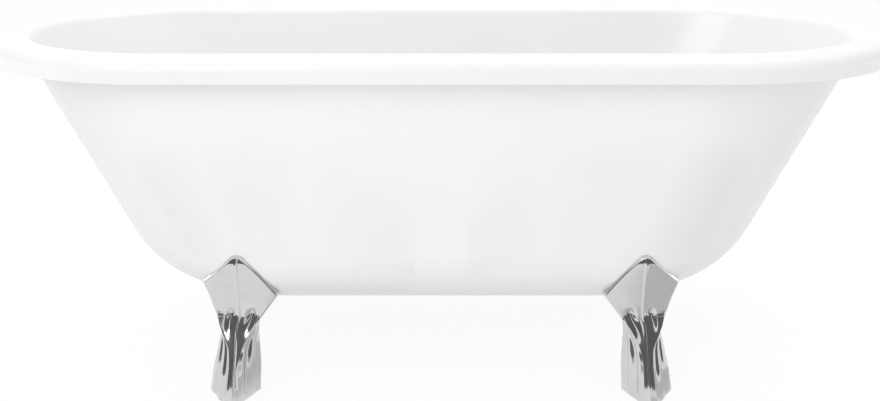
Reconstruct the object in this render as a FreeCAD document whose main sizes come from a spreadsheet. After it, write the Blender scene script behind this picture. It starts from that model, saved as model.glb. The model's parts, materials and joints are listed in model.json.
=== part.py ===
import FreeCAD, Part
import math
import os
import Sketcher
from FreeCAD import Placement, Rotation, Vector

# Freestanding double-ended roll-top bath on four polished feet.
# Millimetres, +Z up, +X along the bath; the origin is on the floor under the middle.
# The bath is a moulded inner basin whose rim rolls over a moulded outer skin.  Between them
# lie the timber rim batten, the base board and two timber bearers that the feet bolt into.

doc = FreeCAD.newDocument("roll_top_bath")
sheet = doc.addObject("Spreadsheet::Sheet", "Sizes")

SIZES = [
    ("rim_height", 650, "floor to the top of the rim"),
    ("rim_half_length", 850, "centre to the outermost point of the rim along X"),
    ("rim_half_width", 377.5, "centre to the outermost point of the rim along Y"),
    ("lip_drop", 40, "height of the rolled-over lip"),
    ("lip_radius", 23, "outer rounding of the rim"),
    ("fold_radius", 15, "rounding where the rim turns down into the basin"),
    ("shell_wall", 6, "thickness of the inner basin"),
    ("ledge_end", 73, "rim's outer edge to the basin's wall line at rim height, at the ends"),
    ("ledge_side", 74.5, "rim's outer edge to the basin's wall line at rim height, at the sides"),
    ("basin_rise", 85, "height of the curve between basin floor and basin wall"),
    ("end_slope", 25.95, "lean of the end walls from upright, degrees"),
    ("side_slope", 6.9, "lean of the side walls from upright, degrees"),
    ("overhang_end", 72, "rim's outer edge to the outer skin at the lip's lower edge, at the ends"),
    ("overhang_side", 37.5, "rim's outer edge to the outer skin at the lip's lower edge, at the sides"),
    ("skin_wall", 5, "thickness of the outer skin"),
    ("skin_rise", 109, "height of the curve between skin floor and skin wall"),
    ("skin_floor", 172, "floor to the underside of the outer skin"),
    ("flange_recess", 2, "height of the skin's top flange above the lip's lower edge"),
    ("flange_rounding", 0.5, "rounding of that flange's upper edge"),
    ("seat_gap", 0.3, "clearance between moulded faces that lie against each other"),
    ("thread_gap", 0.05, "radial clearance of threads and sliding fits"),
    ("batten_gap", 0.5, "clearance between the rim batten and the rounding of the lip"),
    ("bearer_height", 40, "height of each timber bearer"),
    ("bearer_width", 60, "width of each timber bearer along X"),
    ("bearer_half_length", 225, "half the length of a bearer along Y"),
    ("board_thickness", 18, "thickness of the base board"),
    ("board_half_length", 430, "base board half length along X"),
    ("board_half_width", 150, "base board half width along Y"),
    ("board_waste_radius", 55, "hole in the base board around the waste"),
    ("skin_waste_radius", 50, "access hole in the skin floor around the waste"),
    ("rim_screw_inset", 7, "rim screws from the rim batten's outer edge"),
    ("rim_screw_radius", 2, "shank radius of a rim screw"),
    ("rim_screw_length", 22, "length of a rim screw under its head"),
    ("rim_screw_head", 4, "head radius of a rim screw"),
    ("screw_head_height", 1.6, "height of the flat screw heads"),
    ("screw_point", 2, "height of a wood screw's point"),
    ("board_screw_radius", 2.5, "shank radius of a board screw"),
    ("board_screw_head", 5, "head radius of a board screw"),
    ("board_screw_length", 40, "length of a board screw"),
    ("board_screw_spread", 110, "outer board screws from the centre line"),
    ("foot_place", 372, "centre to the foot bolts along X"),
    ("foot_wall", 5, "wall thickness of a foot"),
    ("foot_sole", 10, "thickness of a foot's closed base"),
    ("shield_thickness", 7, "front of a foot's shield from the skin"),
    ("shield_drop", 44, "height of the shield's outer corner above the skin floor"),
    ("ankle_drop", 20, "height from a foot's ankle up to the skin floor"),
    ("foot_plate", 12, "thickness of a foot's mounting plate under the skin floor"),
    ("plate_depth", 121, "shield to the rear edge of a mounting plate"),
    ("bolt_near", 61, "shield to the nearer foot bolt"),
    ("bolt_far", 101, "shield to the farther foot bolt"),
    ("bolt_radius", 4, "M8 shank radius"),
    ("bolt_clearance", 0.5, "radial clearance of a bolt hole"),
    ("bolt_flats", 13, "M8 nut and head across the flats"),
    ("bolt_head", 5.3, "M8 head height"),
    ("nut_height", 6.5, "M8 nut height"),
    ("bolt_end", 2, "bolt past its nut"),
    ("washer_radius", 8, "M8 washer outer radius"),
    ("washer_thickness", 1.6, "M8 washer thickness"),
    ("counterbore_radius", 11, "counterbore in the bearer around a foot nut"),
    ("counterbore_depth", 11, "depth of that counterbore"),
    ("leveller_radius", 5, "M10 levelling screw radius"),
    ("leveller_top", 52, "top of the levelling screw above the floor"),
    ("leveller_x", 17, "levelling screw from the foot bolts along X"),
    ("leveller_forward", 11.3, "levelling screw in front of the shield's mid-height"),
    ("leveller_boss", 11, "radius of the boss in the foot around the levelling screw"),
    ("leveller_boss_top", 34, "top of that boss above the floor"),
    ("pad_radius", 14, "radius of a levelling pad"),
    ("pad_height", 5, "height of a levelling pad"),
    ("pad_chamfer", 1, "chamfer of a levelling pad's lower edge"),
    ("pad_socket", 3, "depth of the screw's socket in its pad"),
    ("pad_gap", 1, "clearance around a levelling pad in its recess"),
    ("locknut_flats", 17, "M10 lock nut across the flats"),
    ("locknut_height", 5, "M10 lock nut height"),
    ("waste_radius", 23.9, "outside radius of the threaded waste tail"),
    ("waste_bore", 20, "bore radius of the waste"),
    ("waste_flange", 35, "radius of the waste's flange"),
    ("waste_flange_thickness", 2.5, "thickness of the waste's flange"),
    ("waste_recess", 3, "depth of the moulded recess around the waste"),
    ("waste_recess_gap", 3, "width of the recess outside the flange"),
    ("waste_cone", 23, "radius of the plug seat at the flange's top"),
    ("waste_cone_depth", 5, "depth of the plug seat"),
    ("tail_length", 50, "free threaded tail of the waste, for a trap"),
    ("tail_neck", 5.5, "height of the neck between that thread and the backnut"),
    ("tail_neck_depth", 1, "depth of that neck"),
    ("flange_chamfer", 1, "chamfer of the waste flange's edge"),
    ("seal_thickness", 1, "flange seal thickness"),
    ("seal_inset", 1, "edge of a seal inside the edge of what covers it"),
    ("waste_slot_width", 14, "overflow slots in the waste tail"),
    ("waste_slot_height", 14, "overflow slots in the waste tail"),
    ("spider_height", 6, "height of the cross that holds the plug's cartridge"),
    ("spider_arm", 3, "width of that cross's arms"),
    ("spider_hub", 9, "radius of that cross's hub"),
    ("lower_seal", 3, "thickness of the seal under the basin floor"),
    ("ring_radius", 38, "outer radius of the overflow ring"),
    ("ring_height", 42, "height of the overflow ring"),
    ("ring_wall", 4, "wall of the overflow ring"),
    ("backnut_height", 10, "height of the waste's backnut"),
    ("backnut_flats", 60, "backnut across the flats"),
    ("backnut_washer", 1.5, "thickness of the backnut's washer"),
    ("washer_inset", 3, "edge of that washer inside the edge of the overflow ring"),
    ("hose_radius", 11, "outside radius of the overflow hose"),
    ("hose_bore", 9, "bore radius of the overflow hose"),
    ("hose_bend", 110, "bend radius of the overflow hose"),
    ("spigot_bore", 7, "bore radius of the two hose spigots"),
    ("spigot_reach", 24, "length of a hose spigot inside the hose"),
    ("spigot_shoulder", 2, "start of the hose outside what its spigot stands on"),
    ("clip_width", 9, "width of a hose clip"),
    ("clip_band", 0.9, "band thickness of a hose clip"),
    ("clip_housing", 10, "length of a hose clip's worm housing round the band"),
    ("clip_rise", 6, "height of that housing"),
    ("clip_screw", 2.5, "radius of a hose clip's screw"),
    ("clip_screw_length", 14, "length of a hose clip's screw"),
    ("clip_inset", 8, "hose clip from the end of the hose"),
    ("overflow_drop", 85, "rim's top down to the overflow on the basin's near wall"),
    ("overflow_hole", 20.5, "hole radius of the overflow in the basin wall"),
    ("overflow_cover", 33, "radius of the overflow cover"),
    ("overflow_rise", 8, "height of the overflow cover"),
    ("cover_wall", 2.5, "wall of the overflow cover"),
    ("cover_chamfer", 3, "chamfer of the overflow cover's edge"),
    ("overflow_slot", 30, "width of the water slot at the cover's lower edge"),
    ("overflow_body", 27, "radius of the overflow body behind the wall"),
    ("overflow_depth", 26, "depth of the overflow body behind its seal"),
    ("overflow_wall", 3, "thickness of the overflow body's back"),
    ("overflow_lip", 4, "edge of the overflow body inside the hole in the basin wall"),
    ("overflow_seal", 2, "thickness of the overflow seals"),
    ("overflow_screw", 3, "radius of the overflow's fixing screw"),
    ("overflow_post", 5, "height of the post that takes that screw"),
    ("plug_radius", 30, "radius of the plug's cap"),
    ("plug_lift", 0.8, "gap between the waste's flange and the closed plug's cap"),
    ("plug_seal_depth", 2.7, "depth of the plug's seal in the plug seat"),
    ("plug_edge", 2, "height of the plug cap's upright edge"),
    ("plug_chamfer", 1.5, "chamfer above that edge"),
    ("plug_crown", 5, "height of the plug's cap at its middle"),
    ("plug_hub", 7, "radius of the hub under the plug's cap"),
    ("plug_hub_depth", 8, "depth of that hub"),
    ("stem_radius", 3.5, "radius of the plug's stem"),
    ("stem_collar", 3, "height of the collar that the spring pushes"),
    ("stem_shoulder", 1, "end of the stem below the top of the hub"),
    ("cartridge_radius", 8, "outside radius of the plug's cartridge"),
    ("cartridge_bore", 6.2, "bore radius of the plug's cartridge"),
    ("cartridge_stud", 5, "radius of the threaded stud under the cartridge"),
    ("cartridge_end", 2, "end of that stud below the waste's cross"),
    ("cartridge_base", 2, "thickness of the cartridge's closed end"),
    ("cartridge_lid", 3, "thickness of the cartridge's bored end"),
    ("cartridge_gap", 2, "plug's hub to the cartridge"),
    ("spring_wire", 0.6, "wire radius of the plug's spring"),
    ("spring_length", 16, "length of the plug's spring at rest"),
    ("spring_gap", 0.5, "clearance between the spring and the cartridge's bore"),
]

for row, (alias, value, note) in enumerate(SIZES, start=1):
    sheet.set(f"A{row}", alias)
    sheet.set(f"B{row}", str(value))
    sheet.set(f"C{row}", note)
    sheet.setAlias(f"B{row}", alias)
doc.recompute()

OVERSHOOT = 1
TOOL_REACH = 30
FOLD_LIFT = 0.05
CURVE_STEPS = 8
CUBIC = 3
SPRING_TURNS = 5


class Size:
    """A length that knows its value and the sheet expression that gives it."""

    def __init__(self, value, text):
        self.value = value
        self.text = text

    def __float__(self):
        return float(self.value)

    def __add__(self, other):
        return Size(self.value + float(other), f"({self.text} + {text_of(other)})")

    def __radd__(self, other):
        return Size(float(other) + self.value, f"({text_of(other)} + {self.text})")

    def __sub__(self, other):
        return Size(self.value - float(other), f"({self.text} - {text_of(other)})")

    def __rsub__(self, other):
        return Size(float(other) - self.value, f"({text_of(other)} - {self.text})")

    def __mul__(self, other):
        return Size(self.value * float(other), f"({self.text} * {text_of(other)})")

    __rmul__ = __mul__

    def __truediv__(self, other):
        return Size(self.value / float(other), f"({self.text} / {text_of(other)})")

    def __neg__(self):
        return Size(-self.value, f"(0 - {self.text})")


def text_of(amount):
    return amount.text if isinstance(amount, Size) else repr(float(amount))


class Sheet:
    """Every cell of the sheet as an attribute."""


d = Sheet()
for alias, _, _ in SIZES:
    setattr(d, alias, Size(float(sheet.get(alias)), f"Sizes.{alias}"))

# Heights and places that follow from the driving sizes.
rim_spine = d.rim_half_length - d.rim_half_width
basin_half_length = d.rim_half_length - d.ledge_end
basin_half_width = d.rim_half_width - d.ledge_side
skin_half_length = d.rim_half_length - d.overhang_end
skin_half_width = d.rim_half_width - d.overhang_side
batten_inner = basin_half_width + d.fold_radius
batten_outer = d.rim_half_width - d.lip_radius - d.batten_gap
rim_screw_offset = batten_outer - d.rim_screw_inset
overflow_height = d.rim_height - d.overflow_drop
lip_bottom = d.rim_height - d.lip_drop
flange_bottom = lip_bottom + d.flange_recess
flange_top = flange_bottom + d.skin_wall
bearer_bottom = d.skin_floor + d.skin_wall
board_bottom = bearer_bottom + d.bearer_height
board_top = board_bottom + d.board_thickness
basin_floor = board_top + d.shell_wall
ankle_height = d.skin_floor - d.ankle_drop
shield_height = d.skin_floor + d.shield_drop
plate_bottom = d.skin_floor - d.foot_plate
recess_floor = basin_floor - d.waste_recess
flange_seat = recess_floor + d.seal_thickness
waste_top = flange_seat + d.waste_flange_thickness
ring_top = board_top - d.lower_seal
ring_bottom = ring_top - d.ring_height
backnut_top = ring_bottom - d.backnut_washer
hose_height = ring_bottom + d.hose_radius

kept = []


def keep(node, label):
    """Names a finished sub-part; its label is the name of its file."""
    node.Label = label
    kept.append(node)
    return node


def feature(label, shape, placement=None):
    """A sub-part whose shape comes from curves that no single primitive gives."""
    node = doc.addObject("Part::Feature", label)
    node.Shape = shape
    if placement is not None:
        node.Placement = placement
    return keep(node, label)


# ---------------------------------------------------------------- sketch and solid helpers


def bind(node, target, amount):
    node.setExpression(target, text_of(amount))


def place(node, x=0, y=0, z=0):
    for axis, amount in zip("xyz", (x, y, z)):
        bind(node, f"Placement.Base.{axis}", amount)


def cylinder(name, radius, height, x=0, y=0, z=0):
    node = doc.addObject("Part::Cylinder", name)
    bind(node, "Radius", radius)
    bind(node, "Height", height)
    place(node, x, y, z)
    return node


def box(name, length, width, height, x=0, y=0, z=0):
    node = doc.addObject("Part::Box", name)
    bind(node, "Length", length)
    bind(node, "Width", width)
    bind(node, "Height", height)
    place(node, x, y, z)
    return node


def hexagon(name, flats, height, z=0):
    node = doc.addObject("Part::Prism", name)
    node.Polygon = 6
    bind(node, "Circumradius", flats * (1 / math.sqrt(3)))
    bind(node, "Height", height)
    place(node, 0, 0, z)
    return node


def joined(name, parts):
    node = doc.addObject("Part::MultiFuse", name)
    node.Shapes = parts
    return node


def cut(name, base, tools):
    node = doc.addObject("Part::Cut", name)
    node.Base = base
    node.Tool = tools[0] if len(tools) == 1 else joined(f"{name}_tools", tools)
    return node


def outline(body, name, role, points):
    """Closed sketch whose corners are held by the sheet's sizes."""
    plane = next(item for item in body.Origin.OriginFeatures if item.Role == role)
    sketch = body.newObject("Sketcher::SketchObject", name)
    sketch.AttachmentSupport = [(plane, "")]
    sketch.MapMode = "FlatFace"
    count = len(points)
    for index, (across, up) in enumerate(points):
        ahead, above = points[(index + 1) % count]
        sketch.addGeometry(Part.LineSegment(Vector(across, up, 0), Vector(ahead, above, 0)))
    for index in range(count):
        sketch.addConstraint(Sketcher.Constraint("Coincident", index, 2, (index + 1) % count, 1))
    for index, (across, up) in enumerate(points):
        for kind, amount, axis in (("DistanceX", across, -2), ("DistanceY", up, -1)):
            if float(amount) == 0:
                sketch.addConstraint(Sketcher.Constraint("PointOnObject", index, 1, axis))
                continue
            rule = Sketcher.Constraint(kind, -1, 1, index, 1, float(amount))
            number = sketch.addConstraint(rule)
            bind(sketch, f"Constraints[{number}]", amount)
    return sketch


def turned(label, points):
    """A body turned about the Z axis from a profile of (radius, height) corners."""
    body = doc.addObject("PartDesign::Body", label)
    sketch = outline(body, f"{label}_profile", "XZ_Plane", points)
    turn = body.newObject("PartDesign::Revolution", f"{label}_turn")
    turn.Profile = sketch
    turn.ReferenceAxis = (sketch, ["V_Axis"])
    turn.Angle = 360
    sketch.Visibility = False
    return body


def tube(inner, outer, bottom, top):
    return [(inner, bottom), (outer, bottom), (outer, top), (inner, top)]


def group(label, template, places):
    """Identical pieces in one node: copies of a finished template."""
    doc.recompute()
    copies = []
    for spot in places:
        copy = template.Shape.copy()
        copy.Placement = spot.multiply(copy.Placement)
        copies.append(copy)
    return feature(label, Part.makeCompound(copies))


def at(x, y, z):
    return Placement(Vector(x, y, z), Rotation())


# ---------------------------------------------------------------- tub surfaces


class Wall:
    """One wall of a tub: sloped, curved into the floor, and folded out at the rim.

    The fold's circle reaches FOLD_LIFT above the rim, so that its surface crosses the rim's
    flat faces at a small angle.
    """

    def __init__(self, top, top_height, slope, rise, floor, fold, rim):
        self.angle = math.radians(float(slope))
        self.top = float(top)
        self.top_height = float(top_height)
        self.radius = float(rise) / (1 - math.sin(self.angle))
        self.centre_height = float(floor) + self.radius
        self.centre = self.line(self.centre_height) - self.radius / math.cos(self.angle)
        self.fold = float(fold)
        self.fold_height = float(rim) - self.fold + FOLD_LIFT
        self.fold_centre = self.line(self.fold_height) + self.fold / math.cos(self.angle)

    def line(self, height):
        return self.top - (self.top_height - height) * math.tan(self.angle)

    def curve_top(self, offset):
        return self.centre_height - (self.radius + offset) * math.sin(self.angle)

    def fold_start(self, offset):
        return self.fold_height + (self.fold - offset) * math.sin(self.angle)

    def half(self, height, offset):
        """Half the tub's size at a height, on the surface lying offset outside the wall."""
        if height < self.curve_top(offset):
            drop = self.centre_height - height
            return self.centre + math.sqrt(max((self.radius + offset) ** 2 - drop ** 2, 0))
        if self.fold > 0 and height > self.fold_start(offset):
            climb = height - self.fold_height
            return self.fold_centre - math.sqrt(max((self.fold - offset) ** 2 - climb ** 2, 0))
        return self.line(height) + offset / math.cos(self.angle)


def stadium(half_length, half_width, height):
    """Closed outline of two straight sides and two round ends."""
    spine = half_length - half_width
    slant = half_width * math.sqrt(0.5)
    corners = []
    for way in (1, -1):
        near = Vector(way * spine, -way * half_width, height)
        tip = Vector(way * half_length, 0, height)
        far = Vector(way * spine, way * half_width, height)
        first = Vector(way * (spine + slant), -way * slant, height)
        second = Vector(way * (spine + slant), way * slant, height)
        corners.append(Part.Arc(near, first, tip))
        corners.append(Part.Arc(tip, second, far))
    line_one = Part.LineSegment(Vector(-spine, -half_width, height), Vector(spine, -half_width, height))
    line_two = Part.LineSegment(Vector(spine, half_width, height), Vector(-spine, half_width, height))
    loop = [line_one, corners[0], corners[1], line_two, corners[2], corners[3]]
    return Part.Wire([piece.toShape() for piece in loop])


def tub_loft(end, side, offset, heights, ruled):
    outlines = [stadium(end.half(z, offset), side.half(z, offset), z) for z in heights]
    return Part.makeLoft(outlines, True, ruled)


def tub_solid(end, side, offset, floor, top, folded):
    """Solid inside a tub surface, from its floor up to top, with or without the rim's fold."""
    low = floor - offset
    high = max(end.curve_top(offset), side.curve_top(offset))
    turns = [math.pi / 2 * step / CURVE_STEPS for step in range(CURVE_STEPS + 1)]
    curve = [low + (high - low) * (1 - math.cos(turn)) for turn in turns]
    pieces = [tub_loft(end, side, offset, curve, False)]
    wall_top = min(end.fold_start(offset), side.fold_start(offset)) if folded else top
    pieces.append(tub_loft(end, side, offset, [high, wall_top], True))
    if folded:
        rim = end.fold_height + end.fold - offset
        fold = [wall_top + (rim - wall_top) * math.sin(turn) for turn in turns]
        pieces.append(tub_loft(end, side, offset, fold, False))
        mouth = Part.Face(stadium(end.half(rim, offset), side.half(rim, offset), rim))
        pieces.append(mouth.extrude(Vector(0, 0, top - rim)))
    return pieces[0].fuse(pieces[1:])


basin_end = Wall(basin_half_length, d.rim_height, d.end_slope, d.basin_rise, basin_floor,
                 d.fold_radius, d.rim_height)
basin_side = Wall(basin_half_width, d.rim_height, d.side_slope, d.basin_rise, basin_floor,
                  d.fold_radius, d.rim_height)
skin_end = Wall(skin_half_length, lip_bottom, d.end_slope, d.skin_rise, d.skin_floor, 0, d.rim_height)
skin_side = Wall(skin_half_width, lip_bottom, d.side_slope, d.skin_rise, d.skin_floor, 0, d.rim_height)


def skin_solid(offset):
    """Solid inside the outer skin's surface moved out by offset, to a little above its flange."""
    top = float(flange_top) + 3 * OVERSHOOT
    return tub_solid(skin_end, skin_side, offset, float(d.skin_floor), top, False)


def skin_front(x, height):
    """Distance of the skin from the centre plane at a place along the bath and a height."""
    half_length = skin_end.half(height, 0)
    half_width = skin_side.half(height, 0)
    past = max(x - (half_length - half_width), 0)
    return math.sqrt(half_width ** 2 - past ** 2)


def rim_slab(reach, bottom, top, rounding):
    """Slab with the rim's outline drawn in or out to reach, its top edge rounded."""
    spine = float(rim_spine)
    reach, bottom, top, rounding = (float(value) for value in (reach, bottom, top, rounding))
    bend = rounding * math.sqrt(0.5)
    corner = Vector(0, -reach + rounding - bend, top - rounding + bend)
    edges = [
        Part.LineSegment(Vector(0, 0, bottom), Vector(0, -reach, bottom)),
        Part.LineSegment(Vector(0, -reach, bottom), Vector(0, -reach, top - rounding)),
        Part.Arc(Vector(0, -reach, top - rounding), corner, Vector(0, -reach + rounding, top)),
        Part.LineSegment(Vector(0, -reach + rounding, top), Vector(0, 0, top)),
        Part.LineSegment(Vector(0, 0, top), Vector(0, 0, bottom)),
    ]
    face = Part.Face(Part.Wire([edge.toShape() for edge in edges]))
    straight = face.translated(Vector(-spine, 0, 0)).extrude(Vector(2 * spine, 0, 0))
    swept = face.translated(Vector(spine, 0, 0)).revolve(Vector(spine, 0, 0), Vector(0, 0, 1), 180)
    opposite = Placement(Vector(0, 0, 0), Rotation(Vector(0, 0, 1), 180))
    parts = [straight, swept]
    for piece in (straight, swept):
        copy = piece.copy()
        copy.Placement = opposite
        parts.append(copy)
    return parts[0].fuse(parts[1:]).removeSplitter()


def make_inner_shell():
    wall = float(d.shell_wall)
    floor = float(basin_floor)
    rim_top = float(d.rim_height)
    cavity = tub_solid(basin_end, basin_side, 0, floor, rim_top + OVERSHOOT, True)
    body = tub_solid(basin_end, basin_side, wall, floor, rim_top - wall / 2, True)
    rim = rim_slab(d.rim_half_width, lip_bottom, d.rim_height, d.lip_radius)
    under = rim_slab(d.rim_half_width - d.shell_wall, lip_bottom - OVERSHOOT, d.rim_height - d.shell_wall,
                     d.lip_radius - d.shell_wall)
    shell = rim.cut(under).fuse(body).cut(cavity)
    recess = Part.makeCylinder(d.waste_flange + d.waste_recess_gap, d.waste_recess + OVERSHOOT,
                               Vector(0, 0, recess_floor))
    hole = Part.makeCylinder(d.waste_radius + d.bolt_clearance, 3 * wall, Vector(0, 0, floor - 2 * wall))
    overflow = Part.makeCylinder(d.overflow_hole, 4 * wall, Vector(0, 0, -2 * wall))
    overflow.Placement = overflow_place
    return shell.cut([recess, hole, overflow])


def make_outer_shell():
    flange = rim_slab(d.rim_half_width - d.shell_wall - d.seat_gap, flange_bottom, flange_top,
                      d.flange_rounding)
    around = 2 * float(d.rim_half_length)
    under_flange = Part.makeBox(2 * around, 2 * around, flange_top, Vector(-around, -around, 0))
    skin = skin_solid(0).common(under_flange)
    shell = skin.fuse(flange).cut(skin_solid(-float(d.skin_wall)))
    drills = [(d.skin_waste_radius, 0, 0, d.skin_floor)]
    drills += [(d.bolt_radius + d.bolt_clearance, x, y, d.skin_floor) for x, y in foot_bolt_places()]
    drills += [(d.rim_screw_radius + d.thread_gap, x, y, flange_bottom) for x, y in rim_screw_places()]
    return shell.cut([Part.makeCylinder(radius, 2 * TOOL_REACH, Vector(x, y, z - TOOL_REACH))
                      for radius, x, y, z in drills])


foot_middle = skin_front(float(d.foot_place), float(shield_height))
leveller_x = d.foot_place + d.leveller_x
leveller_y = foot_middle + float(d.leveller_forward)


def foot_bolt_places():
    return [(way * float(d.foot_place), side * (foot_middle - float(back)))
            for way in (-1, 1) for side in (-1, 1) for back in (d.bolt_far, d.bolt_near)]


SIDE_SCREWS = (-0.85, -0.425, 0, 0.425, 0.85)
END_SCREWS = (-55, 0, 55)


def rim_screw_places():
    """Places along each side, as shares of its straight run, and round each end, in degrees."""
    offset = float(rim_screw_offset)
    spine = float(rim_spine)
    places = []
    for side in (-1, 1):
        places += [(spine * share, side * offset) for share in SIDE_SCREWS]
    for way in (-1, 1):
        for angle in END_SCREWS:
            turn = math.radians(angle)
            places.append((way * (spine + offset * math.cos(turn)), offset * math.sin(turn)))
    return places


overflow_lean = Rotation(Vector(1, 0, 0), float(d.side_slope) - 90)
overflow_point = Vector(0, -basin_side.line(float(overflow_height)), overflow_height)
overflow_place = Placement(overflow_point, overflow_lean)


# ---------------------------------------------------------------- feet

# The leg's levels, from the sole to the ankle: share of the ankle's height; then, from the
# foot bolts along X, the inner rear corner, the front band's two edges and the outer rear
# corner; then how far the band's inner edge, middle and outer edge and the rear corners
# stand in front of the shield's mid-height.
LEG = [
    (0.00, -30.0, 1.0, 27.0, 65.0, 52.2, 53.7, 52.2, -13.3),
    (0.13, -31.0, 0.6, 23.5, 61.2, 49.2, 50.7, 49.2, -13.3),
    (0.30, -33.0, 0.2, 20.0, 56.5, 42.4, 43.7, 42.2, -13.3),
    (0.49, -33.5, -0.7, 18.0, 49.0, 31.2, 31.7, 30.0, -14.3),
    (0.66, -33.0, -6.5, 20.5, 42.5, 19.7, 18.9, 16.6, -15.3),
    (0.79, -32.5, -16.5, 30.5, 37.8, 11.7, 8.8, 5.6, -17.3),
    (0.89, -34.0, -25.0, 37.0, 38.0, 6.7, 2.7, -0.8, -19.3),
    (1.00, -36.5, -36.5, 39.0, 39.0, 3.0, -1.2, -6.4, -21.3),
]
FLUTES = [(0.0, 0.0), (0.28, 0.015), (0.40, -0.045), (0.52, 0.02), (0.86, 0.02), (1.0, 0.0)]
BAND_STEP = 3.5
HOLLOW_BEHIND = 9.0
HOLLOW_INSET = 3.0
CORNER_WALL = 1.2
FULL_FLUTE = 0.125

# The shield's kite-shaped outline, from the foot bolts along X and from its outer corner's
# height, each corner with its rounding.
KITE = [(-11, 81, 16), (21.4, 48.6, 80), (65, 6, 7), (41.8, -64, 30), (39, -74, 1), (-36.5, -74, 1),
        (-36.5, -68, 12), (-77.5, -13, 7), (-46.2, 38.9, 60)]

# The shield's front between the ankle and its outer corner: height above the skin floor; the
# crease along X; then how far the inner edge, the crease and the outer edge stand in front of
# mid-height, the edges taken at the shield's half width from the crease.
NECK = [
    (-2, -0.5, 7.5, 0.8, -11.5),
    (13, -1.5, 11.5, 5.2, -13.0),
    (28, -2.8, 17.0, 11.2, -13.0),
    (44, -4.0, 23.5, 18.0, -9.5),
]
SHIELD_HALF_WIDTH = 80
SHIELD_ROWS = (80, 105, 130, 155)
CREASE_LEAN = 0.08
CREASE_PROUD = 1.5
EDGE_BACK = 1.0
EDGE_ABOVE_ANKLE = 0.75
RECESS_BEHIND = 6.0


def polygon(points, height):
    corners = [Vector(x, y, height) for x, y in points]
    return Part.makePolygon(corners + corners[:1])


def flank(front, rear, away, depth):
    """Fluted flank of the leg from the band's back edge to the rear corner."""
    run = Vector(rear[0] - front[0], rear[1] - front[1], 0)
    outward = Vector(run.y, -run.x, 0) if away else Vector(-run.y, run.x, 0)
    return [(front[0] + run.x * along + outward.x * out * depth,
             front[1] + run.y * along + outward.y * out * depth) for along, out in FLUTES]


def front_rows():
    """The foot's front, level by level: height, then (x, forward) at its edges and its middle."""
    rows = []
    for share, _, band_in, band_out, _, inner, crease, outer, _ in LEG:
        middle = (band_in + band_out) / 2
        rows.append((share * float(ankle_height), (band_in, inner), (middle, crease), (band_out, outer)))
    for above, lean, inner, crease, outer in NECK:
        height = float(d.skin_floor) + above
        rows.append((height, (lean - SHIELD_HALF_WIDTH, inner), (lean, crease),
                     (lean + SHIELD_HALF_WIDTH, outer)))
    return rows


def along(start, end, x):
    """Forward reach at x on the straight line through two (x, forward) places."""
    return start[1] + (end[1] - start[1]) * (x - start[0]) / (end[0] - start[0])


def leg_sections():
    """Outlines of the leg and of the hollow behind it, level by level, a little past the ankle."""
    rows = front_rows()
    levels = []
    for place, (share, rear_in, band_in, band_out, rear_out, _, _, _, rear) in enumerate(LEG):
        height, inner, crease, outer = rows[place]
        levels.append((height, share, rear_in, rear_out, rear, inner, crease, outer))
    for height, inner, crease, outer in rows[len(LEG):len(LEG) + 2]:
        spread = (height - float(ankle_height)) * EDGE_ABOVE_ANKLE
        left, right = LEG[-1][2] - spread, LEG[-1][3] + spread / 2
        levels.append((height, 1, left, right, LEG[-1][-1], (left, along(crease, inner, left)), crease,
                       (right, along(crease, outer, right))))
    wall = float(d.foot_wall)
    x0 = float(d.foot_place)
    outlines, hollows = [], []
    for height, share, rear_in, rear_out, rear, inner, crease, outer in levels:
        left, middle, right = ((x0 + x, -foot_middle - forward) for x, forward in (inner, crease, outer))
        back = -foot_middle - rear
        depth = min(share / FULL_FLUTE, 1)
        left_flank = flank((left[0], left[1] + BAND_STEP), (x0 + rear_in, back), True, depth)
        right_flank = flank((right[0], right[1] + BAND_STEP), (x0 + rear_out, back), False, depth)
        outlines.append(polygon(left_flank[::-1] + [left, middle, right] + right_flank, height))
        deep = min(max(left[1], right[1]) + BAND_STEP + wall + HOLLOW_BEHIND, back - 2 * OVERSHOOT)
        behind = back + 2 * wall
        side = CORNER_WALL * wall
        hollows.append(polygon([(x0 + rear_in + side, behind), (left[0] + HOLLOW_INSET, deep),
                                (right[0] - HOLLOW_INSET, deep), (x0 + rear_out - side, behind)], height))
    return outlines, hollows


def rounded_loop(corners):
    """Closed wire through corners of (point, rounding) with a tangent arc at each."""
    count = len(corners)
    arcs = []
    for index, (point, rounding) in enumerate(corners):
        before = (corners[index - 1][0] - point).normalize()
        after = (corners[(index + 1) % count][0] - point).normalize()
        half_turn = before.getAngle(after) / 2
        reach = rounding / math.tan(half_turn)
        bisector = (before + after).normalize()
        centre = point + bisector * (rounding / math.sin(half_turn))
        arcs.append((point + before * reach, centre - bisector * rounding, point + after * reach))
    edges = []
    for index, (start, middle, end) in enumerate(arcs):
        edges.append(Part.Arc(start, middle, end).toShape())
        edges.append(Part.LineSegment(end, arcs[(index + 1) % count][0]).toShape())
    return Part.Wire(edges)


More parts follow.
